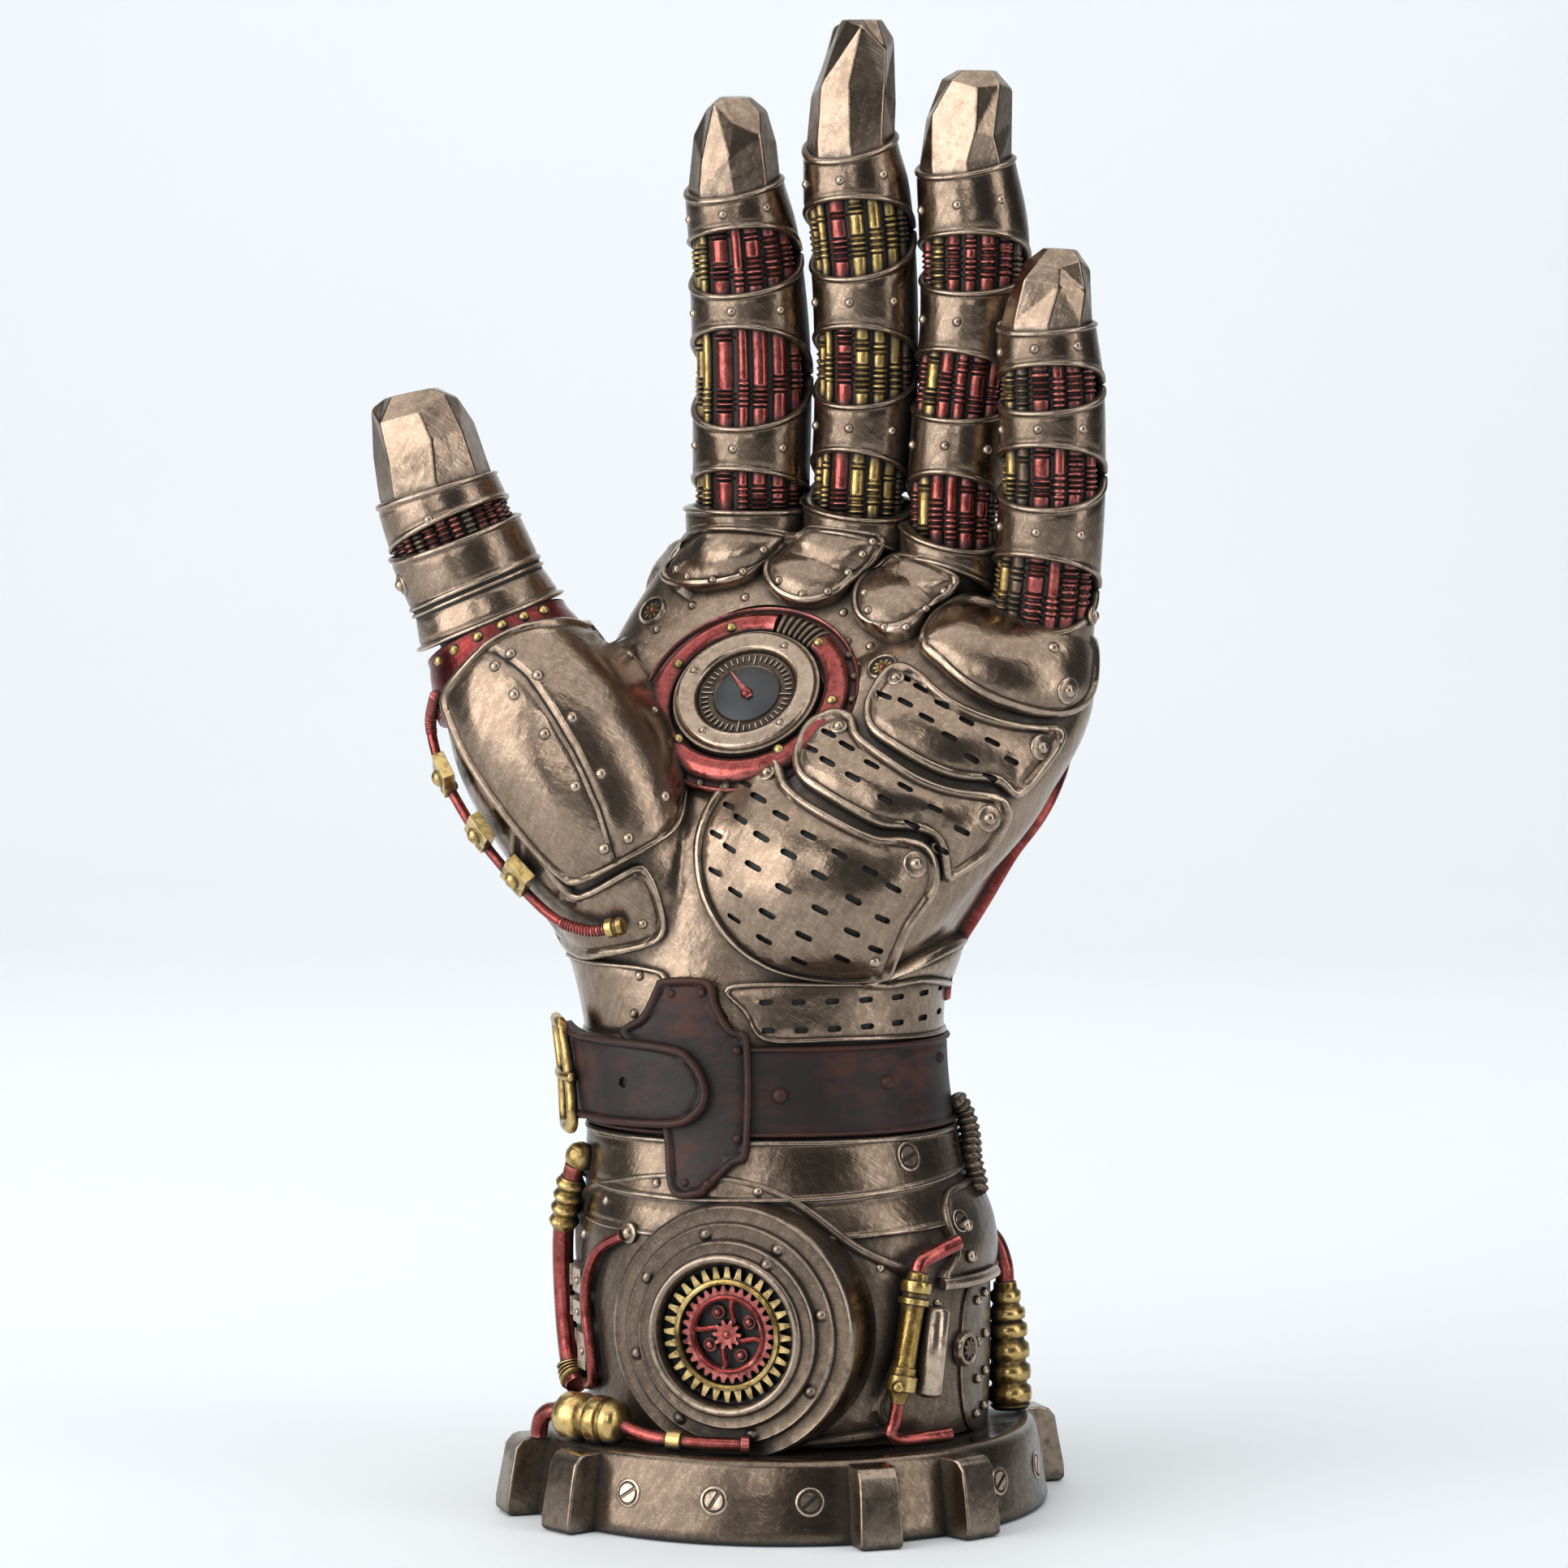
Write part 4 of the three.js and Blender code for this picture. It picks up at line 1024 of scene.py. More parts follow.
def rivet_shape(shape, place, radius, washer=0.0, finish_index=0):
    """A round rivet head, on a washer if one is asked for."""
    profile = [(0, 0.74), (0.35, 0.69), (0.66, 0.53), (0.88, 0.27), (1.0, -0.05), (1.0, -0.5)]
    head = [(r * radius, h * radius) for r, h in profile]
    if washer:
        head = [(r * radius, (h + 0.25) * radius) for r, h in profile[:-1]]
        head += [(1.08 * radius, 0.16 * radius), (washer * 0.86, 0.2 * radius), (washer, 0.05 * radius),
                 (washer, -0.5 * radius)]
    rings = turned(head[1:], place, 12)
    count = len(rings[0])
    points = [place @ Vector((0, 0, head[0][1]))] + [p for ring in rings for p in ring]
    faces = [(0, 1 + j, 1 + (j + 1) % count) for j in range(count)]
    for i in range(len(rings) - 1):
        a, b = 1 + i * count, 1 + (i + 1) * count
        faces += [(a + j, b + j, b + (j + 1) % count, a + (j + 1) % count) for j in range(count)]
    faces.append(tuple(range(1 + (len(rings) - 1) * count, 1 + len(rings) * count)))
    shape.add(points, faces, finish_index)


def beside(place, radius, degrees, height):
    """A place moved away from another's axis at an angle, and along it."""
    a = rad(degrees)
    return place @ Matrix.Translation((radius * math.cos(a), radius * math.sin(a), height))


def arm_place(z, degrees, grow):
    """A place at the arm's surface, its z axis pointing away from the arm."""
    a = rad(degrees)
    return basis(arm_point(z, a, grow), arm_point(z, a, 5) - arm_point(z, a, 0))


def armour_tree():
    """A search tree of everything that rivets may sit on."""
    graph = bpy.context.evaluated_depsgraph_get()
    points, faces = [], []
    for piece in ARMOUR:
        mesh = piece.evaluated_get(graph).to_mesh()
        start = len(points)
        points.extend(v.co / MM for v in mesh.vertices)
        faces.extend(tuple(start + i for i in p.vertices) for p in mesh.polygons)
    return BVHTree.FromPolygons(points, faces)


def seats(tree, places, side=-1):
    """Places on the armour at each x and z, seen from the front or the back, with z along its normal."""
    for x, z in places:
        point, normal, *_ = tree.ray_cast(Vector((x, side * Body.OUTSIDE, z)), Vector((0, -side, 0)))
        if point is not None:
            yield basis(point, normal if normal.y * side > 0 else -normal, (0.01, 0, 1))


def trim(name):
    """A size of the trim in millimetres."""
    return getattr(bpy.context.scene.gauntlet_sizes, name) / MM


def screw_head(shape, place, radius, turn):
    """A slotted screw in a raised ring: bronze is the first finish and black the second."""
    wall = [(1.0, -0.4), (1.0, 0.12), (0.94, 0.2), (0.84, 0.2), (0.78, 0.1), (0.76, -0.06)]
    shape.rings(turned([(r * radius, h * radius * 0.6) for r, h in wall], place, 28), 0, capped=False)
    # The floor under the head is black: painted shade seen through the slot.
    floor = turned([(0.8 * radius, -0.02 * radius), (0.1, -0.02 * radius)], place, 28)
    shape.rings(floor, 1)
    half_gap = 0.13 * radius
    head = 0.68 * radius
    start = math.asin(half_gap / head)
    spin = place @ Matrix.Rotation(rad(turn), 4, "Z")
    for side, away in ((0, 0.04), (math.pi, -0.04)):
        arc = np.linspace(start, math.pi - start, 14) + side
        rings = []
        for size, shift, height in ((1, 0, -0.05), (1, 0, 0.1), (0.92, away, 0.16)):
            rings.append([
                spin @ Vector((size * head * math.cos(a), size * head * math.sin(a) + shift * head,
                               height * radius))
                for a in arc
            ])
        shape.rings(rings, 0)


def gear_outline(teeth, tip, root):
    """The outline of a gear, as points of x and y."""
    points = []
    for i in range(teeth):
        for share, radius in ((-0.35, root), (-0.14, tip), (0.14, tip), (0.35, root)):
            a = (i + share) * TAU / teeth
            points.append((radius * math.cos(a), radius * math.sin(a)))
    return points


def slab(shape, outer, inner, low, high, place, finish_index=0):
    """A flat ring between two outlines of equal length, or a flat disc if inner is None."""
    def lift(points, height):
        return [place @ Vector((x, y, height)) for x, y in points]

    rings = [lift(outer, low), lift(outer, high)]
    if inner is not None:
        rings += [lift(inner, high), lift(inner, low)]
    shape.rings(rings, finish_index, joined=inner is not None)


def box(shape, place, size, finish_index=0):
    """A block on a place: its middle is at the place's origin, and its foot is below it."""
    w, h, d = (v / 2 for v in size)
    corners = [place @ Vector((sx * w, sy * h, sz * d)) for sz in (-1, 1) for sx, sy in
               ((-1, -1), (1, -1), (1, 1), (-1, 1))]
    faces = [(3, 2, 1, 0), (4, 5, 6, 7), (0, 1, 5, 4), (1, 2, 6, 5), (2, 3, 7, 6), (3, 0, 4, 7)]
    shape.add(corners, faces, finish_index)


def tube(shape, points, radius, finish_index=0, sides=14, spacing=0.7):
    """A round tube along a smooth path."""
    path = smooth_path(points, spacing)
    shape.rings(tube_rings(path, radius, sides), finish_index)


def ribbed(radius, ribs, swell):
    """A tube's radius with ribs along all of it."""
    return lambda share: radius * (0.86 + (swell + 0.14) * math.sin(share * ribs * math.pi) ** 2)


def fitting(shape, start, end, profile, finish_index=0, segments=20):
    """A turned fitting between two points, from pairs of share along it and radius."""
    start, end = Vector(start), Vector(end)
    axis = end - start
    place = basis(start, axis, (0, 1, 0.1) if abs(axis.normalized().z) > 0.9 else (0, 0, 1))
    shape.rings(turned([(radius, share * axis.length) for share, radius in profile], place, segments),
                finish_index)


# ---- outlines of the plates, as x and z

THUMB_BALL = [
    (-57, 170), (-50, 173), (-41, 173.2), (-34.5, 170), (-27.6, 162), (-22.8, 155), (-19.8, 147.5),
    (-19.6, 140.5), (-21.8, 134), (-27.5, 130.6), (-38.5, 125), (-42.8, 126.2), (-51, 135), (-59, 146),
    (-64, 155.5), (-64.5, 161),
]
THUMB_BALL_SEAM = [(-56.9, 168.7), (-49.4, 162.6), (-41.6, 150.9), (-36.2, 139.9), (-32.7, 129.7)]
THUMB_HEEL = [
    (-52, 136), (-47, 131), (-41.5, 124), (-38.5, 123), (-29, 128), (-26, 126.4), (-23.7, 121),
    (-22.6, 116.2), (-23.7, 113), (-27, 111.6), (-34, 110), (-41, 109.2), (-46, 114), (-52, 124),
]
VISORS = [
    [
        (-0.5, 147.2), (-5.6, 146.6), (-11.8, 142), (-15.8, 135.7), (-17, 129.5), (-15.8, 121.7),
        (-12.6, 115.5), (-7.2, 110), (-1, 107), (7, 105.8), (16, 105.8), (19.6, 107), (21.3, 111), (24, 117),
        (28.3, 123.2), (28.8, 128.2), (27, 132), (22.5, 133.5), (17.5, 133.6), (11.5, 136.2), (5.3, 139.6),
        (1.4, 142.8),
    ],
    [
        (9.7, 156.6), (5.3, 154.2), (3, 150.4), (2.2, 147.5), (3, 144), (7.3, 140.8), (13, 137.6),
        (18.5, 135), (24, 134.6), (28.6, 132.6), (30, 125.4), (32.7, 126), (39, 130.6), (43, 137),
        (42.8, 140.4), (40, 141.6), (32.6, 142.6), (25.6, 145), (19.4, 149), (15, 152.4), (13.8, 156),
    ],
    [
        (23, 165.8), (20, 164.6), (17, 160.6), (15.6, 157), (16.6, 153), (21, 149.8), (26.6, 146.6),
        (33, 144.2), (40.6, 143.2), (44.6, 140.6), (50, 145.6), (54, 151.2), (53, 154), (47.6, 154.6),
        (39.6, 156.2), (32, 159.6), (26.4, 164.4),
    ],
]
VISOR_SLOTS = [
    [
        (-6.2, 141.8), (-3.3, 139.3), (-9.5, 137.7), (0.5, 136.5), (-6.4, 135.4), (5.3, 133.2),
        (-12.1, 132.8), (-2.6, 132.6), (2, 129.8), (-8.5, 130.4), (10.6, 130.1), (-4, 127.6), (7.1, 126.4),
        (15.9, 127.2), (-12.3, 126.2), (1.1, 124), (-7.3, 122.9), (19.9, 124.3), (12.9, 122.3), (7.2, 120.6),
        (-1.7, 119.7), (17.9, 119), (-8.2, 118.1), (12.6, 116.9), (4.4, 116.1), (-2.5, 115), (16.8, 113.7),
        (10.9, 112.2), (3.4, 111.4),
    ],
    [
        (9.4, 151.7), (12.6, 149.6), (5.9, 148.8), (8.9, 146.4), (17, 146.4), (13.4, 143.8), (23, 142.5),
        (19.1, 140), (28.4, 138.6), (23.9, 135.6), (33.3, 134.8), (29.1, 131.2),
    ],
    [
        (23.5, 162.8), (26.7, 160.9), (19.8, 159.3), (23.7, 157.9), (30.5, 158), (27.5, 155.2), (35, 154.9),
        (31.6, 151.9), (39.6, 151), (35.7, 148), (43.2, 147.4), (39.1, 144.4),
    ],
]
KNUCKLE_PADS = {
    "index": [
        (-23.8, 182), (-22.8, 187), (-19.4, 190.6), (-15.8, 193), (-8, 193.4), (0.2, 192.4), (0.8, 189.8),
        (-2.2, 186), (-5.5, 182.6), (-9.6, 180.6), (-15.5, 179.6), (-21, 179.8),
    ],
    "middle": [
        (-3.9, 183.6), (-1.4, 188.4), (2.4, 191.8), (6.4, 193.4), (13, 193), (19.4, 191.4), (19.8, 189),
        (17.4, 185.2), (14, 181), (10, 177.6), (3.7, 176.4), (-1.9, 179),
    ],
    "ring": [
        (13.7, 179), (15.6, 183), (19.6, 186.6), (24.4, 188), (30, 186.4), (34.8, 183), (34, 180.6),
        (31, 176.6), (26.4, 171.8), (20.9, 170), (16.4, 172), (14, 175),
    ],
    "little": [
        (26.6, 168.4), (27.6, 172), (31, 176), (35.6, 178), (41.2, 176.7), (49.5, 175.4), (55.9, 173.4),
        (59.4, 169.8), (60, 163.6), (58.2, 158.2), (53, 155.6), (44, 157), (35, 161), (29.6, 165.8),
    ],
}
STRAP_PLATE = [
    (-23.6, 104.2), (-22.4, 105.6), (-13.8, 105.6), (-12.2, 101), (-9.6, 96.4), (-6.4, 94), (-6.4, 73),
    (-9.4, 69.6), (-13.6, 65), (-15, 63.8), (-20.6, 64.2), (-21.8, 76.5), (-25, 84), (-27.6, 91.6),
    (-29.8, 95.4), (-26, 98.6),
]
# The rivets: x and z of each, with the radius of the head and of the washer under it.
RIVETS = {
    "palm": (1.0, 0, [
        (-7.8, 178.8), (-18.4, 177.1), (-25.5, 172.2), (-30.6, 167.4), (11.7, 176), (16.9, 169.5),
        (-13.5, 143.8),
    ]),
    "visor_foot": (1.35, 0, [(17.5, 109.4)]),
    "index_pad": (0.95, 0, [(-21.6, 184.2), (-19.4, 182.6), (-14.3, 182.4), (-8.2, 184), (-4, 188.2)]),
    "middle_pad": (0.95, 0, [
        (-1.2, 182.2), (3.6, 179.6), (8.6, 180.2), (12.8, 183.8), (15.6, 187.4), (17.6, 190),
    ]),
    "ring_pad": (0.95, 0, [
        (15.8, 180), (16.4, 176.6), (19.5, 173.4), (24, 173.2), (28, 176.8), (31.4, 180.4),
    ]),
    "little_pad": (1.2, 0, [(52.6, 169.6)]),
    "hinges": (1.35, 2.7, [(25.3, 128.6), (39.6, 136.9), (50.1, 150.2), (55.4, 161.1)]),
    "oval_hinges": (1.1, 1.8, [(-3.3, 145.6), (10.6, 154.6), (21.7, 163.8)]),
    "thumb_ball": (1.2, 0, [
        (-56, 166.2), (-52.1, 160.9), (-46.1, 153.4), (-40.1, 143.3), (-34.6, 131.2), (-53, 168.6),
        (-47.5, 164.6), (-40.7, 156.5), (-35.1, 145.7), (-22.8, 141), (-29.9, 133.2),
    ]),
    "thumb": (1.05, 0, [(-69.4, 194.5), (-57, 197.2), (-76.2, 188.1), (-74.2, 175.1)]),
    "thumb_hinge": (1.3, 2.3, [(-75.2, 181.5)]),
    "palm_edge": (0.85, 0, [(12.6, 170.4), (14.3, 166), (-25.2, 157.2)]),
    "left_wrist": (1.05, 0, [(-28.1, 106), (-29.1, 98.5), (-27.4, 116.2)]),
    "cuff": (1.05, 0, [(-24.7, 66.4), (-34.7, 61.6), (-39.3, 53.9), (18.6, 50.8), (-5, 65.6)]),
}


# ---- operators


class GAUNTLET_OT_stand(bpy.types.Operator):
    """Add the gear-shaped stand with its slotted screws"""

    bl_idname = "gauntlet.stand"
    bl_label = "Stand"

    def execute(self, context):
        shape = Shape()
        profile = [
            (0.5, 15.3), (40, 15.3), (45.4, 15.3), (46.4, 15.5), (47.2, 15.95), (48.6, 16), (49.4, 15.7),
            (50, 15.1),
            (50.4, 14.2), (51.4, 8.6), (52.3, 2.6), (52.6, 1.2), (52.4, 0.3), (51.8, 0), (40, 0), (0.5, 0),
        ]
        lathe(shape, profile, Matrix.Identity(4), 160)
        tooth = [(41.5, 0), (57.9, 0), (58.6, 0.7), (58.5, 3), (57.4, 9), (56.6, 13.2), (55.2, 14.8),
                (54, 15.2), (41.5, 15.2)]
        for corner in range(4):
            for offset in (18.6, 41):
                turn = Matrix.Rotation(rad(offset - 90 + 90 * corner), 4, "Z")
                shape.rings([
                    [turn @ Vector((r, y * (1 if h < 8 else 0.93), h)) for r, h in tooth] for y in (-4.3, 4.3)
                ])
        shape.make("stand_gear", finish("stand"), ["gear_stand"], bevel=0.55, bevel_over=32)
        screws = Shape()
        for corner in range(4):
            for offset, spin in ((-35.5, 35), (-15, 60), (5.5, 40)):
                a = rad(offset + 90 * corner)
                out = Vector((math.sin(a), -math.cos(a), 0))
                place = basis(out * 51.3 + Vector((0, 0, 8.3)), out + Vector((0, 0, 0.16)))
                screw_head(screws, place, 2.75, spin)
        screws.make("stand_screws", finish("bronze", "black"), flat_over=40)
        return {"FINISHED"}


class GAUNTLET_OT_body(bpy.types.Operator):
    """Add the smooth body of the hand and of the cuff, with the recess for the dial"""

    bl_idname = "gauntlet.body"
    bl_label = "Hand and cuff bodies"

    def execute(self, context):
        form = body()
        recess = Shape()
        profile = [(24.2, 9), (22.5, 0.2), (22.4, -1.15), (0.5, -1.15)]
        lathe(recess, profile, basis(DIAL_CENTRE, DIAL_NORMAL), 96)
        cutter = recess.tool("cutter")
        whole = linked("whole", form.mesh)
        for part in (cutter, whole):
            face_outwards(part.data)
        cut = whole.modifiers.new("recess", "BOOLEAN")
        cut.operation = "DIFFERENCE"
        cut.object = cutter
        cut.solver = "EXACT"
        carved = bpy.data.meshes.new_from_object(whole.evaluated_get(context.evaluated_depsgraph_get()))
        for part in (cutter, whole):
            bpy.data.objects.remove(part)
        for name, low, high, node, kind in (
            ("hand_body", SEAM_HEIGHT, 400, "hand_shell", "bronze"),
            ("cuff_body", STAND_HEIGHT + 0.1, SEAM_HEIGHT - 0.35, "cuff_shell", "shell"),
        ):
            bm = bmesh.new()
            bm.from_mesh(carved)
            for height, up in ((low, -1), (high, 1)):
                geometry = list(bm.verts) + list(bm.edges) + list(bm.faces)
                cut = bmesh.ops.bisect_plane(
                    bm, geom=geometry, plane_co=(0, 0, height * MM), plane_no=(0, 0, up), clear_outer=True
                )
                edges = [e for e in cut["geom_cut"] if isinstance(e, bmesh.types.BMEdge)]
                if edges:
                    bmesh.ops.contextual_create(bm, geom=edges)
            part = bpy.data.meshes.new(name)
            bm.to_mesh(part)
            bm.free()
            part.materials.clear()
            part.materials.append(finish(kind)[0])
            ARMOUR.append(settle(part, name, [node], flat_over=42))
        return {"FINISHED"}


def openness(angle):
    """How far open a band's opening is at an angle: fully at the palm's side and closed behind."""
    turn = abs((angle + math.pi) % TAU - math.pi)
    return max(0.0, math.cos(0.82 * turn)) ** 0.7


def gem_cap(name, limb, foot, top, lean, seed, spin=0.0):
    """A finger's cap, cut like a rough gem."""
    rng = np.random.default_rng(seed)
    corners = [-72, -30, 18, 64, 110, 160, 205, 246]
    levels = ((0, -0.7, 0), (0.12, -0.55, 0), (0.5, -0.15, 0.3), (0.82, -1.3, 0.9), (1, -4.3, 0.9))
    rings = []
    for share, grow, shift in levels:
        sway = 0 if share < 0.2 or share == 1 else 1
        ring = []
        for angle in corners:
            a = rad(angle + spin + sway * rng.uniform(-13, 13))
            along = foot + (top - foot) * min(0.985, share + sway * rng.uniform(-0.13, 0.13))
            point = limb.point(along, a, grow + sway * rng.uniform(-0.75, 0.4))
            ring.append(point + Vector((lean[0] * shift, -lean[1] * shift, 0)))
        rings.append(ring)
    count = len(corners)
    faces = []
    for i in range(len(rings) - 1):
        for j in range(count):
            k = (j + 1) % count
            a, b, c, d = i * count + j, i * count + k, (i + 1) * count + k, (i + 1) * count + j
            faces += [(a, b, c), (a, c, d)] if rng.random() < 0.5 else [(a, b, d), (b, c, d)]
    faces += [tuple(reversed(range(count))), tuple(range((len(rings) - 1) * count, len(rings) * count))]
    shape = Shape()
    shape.add([p for ring in rings for p in ring], faces)
    shape.make(f"{name}_tip", finish("bronze"), [f"{name}_cap"], bevel=0.4, bevel_over=7)


ROD_FINISHES = {"red": 0, "gold": 1, "dark": 2}  # where a rod's finish is in the list of its piece's
ROD_FOOT, ROD_TOP = 4.4, 2.2  # how far rods reach under the bands below and above


def rods(shape, limb, low, high, table, rng):
    """Ribbed rods side by side round a limb, between two heights that depend on the angle."""
    for angle, radius, colour in table:
        a = rad(angle)
        foot, top = low(a) - ROD_FOOT, high(a) + ROD_TOP
        length = top - foot
        ribs = rng.integers(3, 6)
        pitch = rng.uniform(1.0, 1.35)
        first = foot + ROD_FOOT + (length - ROD_FOOT - ROD_TOP) * rng.uniform(0.08, 0.35)
        bead = first + pitch * np.arange(ribs)
        if length > 14:
            bead = np.append(bead, top - 3.2 - rng.uniform(0, 2) - pitch * np.arange(rng.integers(0, 3)))

        def at(share, foot=foot, length=length, bead=bead, radius=radius):
            near = np.abs(bead - foot - share * length).min()
            wave = math.exp(-((near / 0.3) ** 2))
            groove = math.exp(-(((near - 0.5) / 0.16) ** 2))
            return radius * (0.92 + 0.22 * wave - 0.2 * groove)

        steps = max(6, int(length / 0.22))
        path = [limb.point(foot + length * t, a, -0.55 - radius) for t in np.linspace(0, 1, steps)]
        shape.rings(tube_rings(path, at, 12), ROD_FINISHES[colour])


def cap_foot(finger, a):
    """The height of a cap's foot at an angle: it rises behind the finger."""
    return finger["cap_foot"] + finger["cap_rise"] * (0.5 - 0.5 * math.cos(a))


def finger_rivets():
    """Five rivets round each band of the fingers, half way up the band."""
    rivets = Shape()
    for name, finger in FINGERS.items():
        limb = FINGER_LIMBS[name]
        for i, (centre, half) in enumerate(finger["openings"]):
            for angle in (-54, 1, 52, 140, 215):
                a = rad(angle)
                low = centre + half * openness(a)
                if i:
                    upper, upper_half = finger["openings"][i - 1]
                    high = upper - upper_half * openness(a)
                else:
                    high = cap_foot(finger, a)
                along = 0.5 * (low + high)
                point = limb.point(along, a)
                ahead, aside = limb.point(along + 1, a), limb.point(along, a + 0.05)
                out = (aside - point).cross(ahead - point)
                rivet_shape(rivets, basis(point, out), trim("rivet") * 0.88)
    rivets.make("finger_rivets", finish("bronze"))


class GAUNTLET_OT_fingers(bpy.types.Operator):
    """Add the bands, rods and caps of the four fingers"""

    bl_idname = "gauntlet.fingers"
    bl_label = "Fingers"

    def execute(self, context):
        gap = 0.03
        for order, (name, finger) in enumerate(FINGERS.items()):
            limb = FINGER_LIMBS[name]
            rng = np.random.default_rng(40 + order)

            def over(centre, half):
                return lambda a: centre + half * openness(a) + gap

            def under(centre, half):
                return lambda a: centre - half * openness(a) - gap

            tops = [lambda a: cap_foot(finger, a)] + [under(*opening) for opening in finger["openings"][:2]]
            for i, (opening, top) in enumerate(zip(finger["openings"], tops)):
                armour_band(f"{name}_armour_{i + 1}", limb.point, over(*opening), top,
                            replaces=[f"{name}_band_{i + 1}"])
            inner = Shape()
            stations = np.linspace(limb.rows[0][0] + 1, finger["cap_foot"] - 1, 40)
            # A black skin under the rods: painted shade seen through the openings.
            inner.rings(limb.skin(stations, 40, -1.95), 3)
            for centre, half in finger["openings"]:
                rods(inner, limb, lambda a: centre - half * openness(a),
                     lambda a: centre + half * openness(a), finger["rods"], rng)
            inner.make(f"{name}_works", finish("red", "gold", "dark", "black"), [f"{name}_rods"],
                       flat_over=60)
            last, half = finger["openings"][2]
            if finger["collar"]:
                foot, top = finger["collar"]
                slant = finger["slant"]
                armour_band(
                    f"{name}_collar", limb.point,
                    lambda a: top - 4.4 - slant * math.sin(a) - (top - foot) * (1 - openness(a)),
                    lambda a: top - slant * math.sin(a) + (last - gap - top) * (1 - openness(a)),
                    grow=1.6, thick=3.2, rim=0.55,
                )
            else:
                armour_band(f"{name}_collar", limb.point, lambda a: limb.rows[0][0] + 2, under(last, half),
                            grow=-0.3)
            gem_cap(name, limb, finger["cap_foot"] - 0.8, finger["rows"][-1][0], finger["lean"], 7 + order)
        finger_rivets()
        return {"FINISHED"}


class GAUNTLET_OT_thumb(bpy.types.Operator):
    """Add the thumb's cap, bands, collar, ring and rods"""

    bl_idname = "gauntlet.thumb"
    bl_label = "Thumb"

    def execute(self, context):
        rng = np.random.default_rng(60)
        gap = 0.16

        def over(a):
            return 21 + 2.6 * openness(a - 0.3) + gap

        def under(a):
            return 21 - 1.8 * openness(a - 0.3) - gap

        def cone(along, angle, grow):
            flare = 0.24 * (9 - along) if grow > -1 else 0
            return THUMB.point(along, angle, grow + flare)

        armour_band("thumb_armour_1", THUMB.point, over, lambda a: 30.2, "bronze", ["thumb_band_1"], grow=0.1)
        armour_band("thumb_armour_2", THUMB.point, lambda a: 9.3, under, "bronze", ["thumb_band_2"], grow=0.7,
                    thick=2.2)
        armour_band("thumb_flare", cone, lambda a: 1.4, lambda a: 9.1, "bronze", ["thumb_collar"], grow=0.2,
                    thick=1.8, rim=0.85)
        inner = Shape()
        # Black skins under the rods and under the flare: painted shade seen through the gaps.
        inner.rings(THUMB.skin(np.linspace(0, 29.4, 20), 40, -1.95), 3)
        inner.rings(THUMB.skin((7.5, 8.5, 10, 11), 40, 0.45), 3)
        table = [
            (angle, 1.35 + 0.25 * math.sin(angle), "red" if i % 4 else "dark")
            for i, angle in enumerate(range(-100, 110, 14))
        ]
        rods(inner, THUMB, under, over, table, rng)
        inner.make("thumb_works", finish("red", "gold", "dark", "black"), ["thumb_rods"],
                   flat_over=60)
        ring = Shape()
        band(ring, ROOT.point, lambda a: 3.9, lambda a: 5.3, grow=1.6, thick=2.4, rim=0.25)
        for a in (-52, -32, -10, 10, 28, 46):
            here, ahead = ROOT.point(4.8, rad(a), 1.6), ROOT.point(4.9, rad(a), 1.6)
            aside = ROOT.point(4.8, rad(a + 3), 1.6)
            rivet_shape(ring, basis(here, (aside - here).cross(ahead - here)), 1.15, 0, 1)
        ARMOUR.append(ring.make("thumb_red_ring", finish("red", "gold"), ["thumb_ring"]))
        gem_cap("thumb", THUMB, 29.0, THUMB_LENGTH, (-0.8, 0.8), 31, -24)
        return {"FINISHED"}


def pad_surface(name):
    """The ground of a knuckle pad: the palm or the finger's base, whichever is further forward."""

    def at(u, v):
        _, cx, cy, _, width, depth = row_at(FINGER_LIMBS[name].rows, v)
        across = min(0.97, max(-0.97, (u - cx) / (width + 0.8)))
        finger = cy - depth * math.sqrt(1 - across * across)
        palm = body().front(u, v).y
        blend = min(1.0, max(0.0, 0.5 + (palm - finger) / 4))
        return Vector((u, palm + (finger - palm) * blend - blend * (1 - blend), v))

    return at


class GAUNTLET_OT_palm(bpy.types.Operator):
    """Add the plates of the palm: the ball of the thumb, the slotted visors and the knuckle pads"""

    bl_idname = "gauntlet.palm"
    bl_label = "Palm plates"

    def execute(self, context):
        rim = trim("rim")
        plate("thumb_heel_armour", THUMB_HEEL, 1.0, rim=rim, replaces=["thumb_heel_plate"])
        plate("thumb_ball_armour", THUMB_BALL, 2.4, dome=1.3, dome_reach=10, rim=0.55, foot=0.2,
              seams=[THUMB_BALL_SEAM], replaces=["thumb_ball_plate"])
        for i, (outline, places) in enumerate(zip(VISORS, VISOR_SLOTS)):
            holes = [slot_outline(x, z, -27, trim("slot_length"), trim("slot_width")) for x, z in places]
            plate(f"palm_visor_{i + 1}", outline, 1.9 - 0.3 * i, dome=2.2 - 0.3 * i, dome_reach=13, rim=rim,
                  holes=holes, replaces=[f"palm_lame_{i + 1}"])
        for i, (name, outline) in enumerate(KNUCKLE_PADS.items()):
            if name == "little":
                surface, lift, lean, swell = on_front, 2.0, 0.0, 3.4
            else:
                surface, lift, lean, swell = pad_surface(name), 2.3 + 0.4 * i, -1.9 - 0.4 * i, 2.8
            plate(f"{name}_knuckle", outline, lift, dome=swell, dome_reach=9, rim=0.65, surface=surface,
                  replaces=[f"knuckle_pad_{name}"], grid=1.1, tilt=lean)
        return {"FINISHED"}


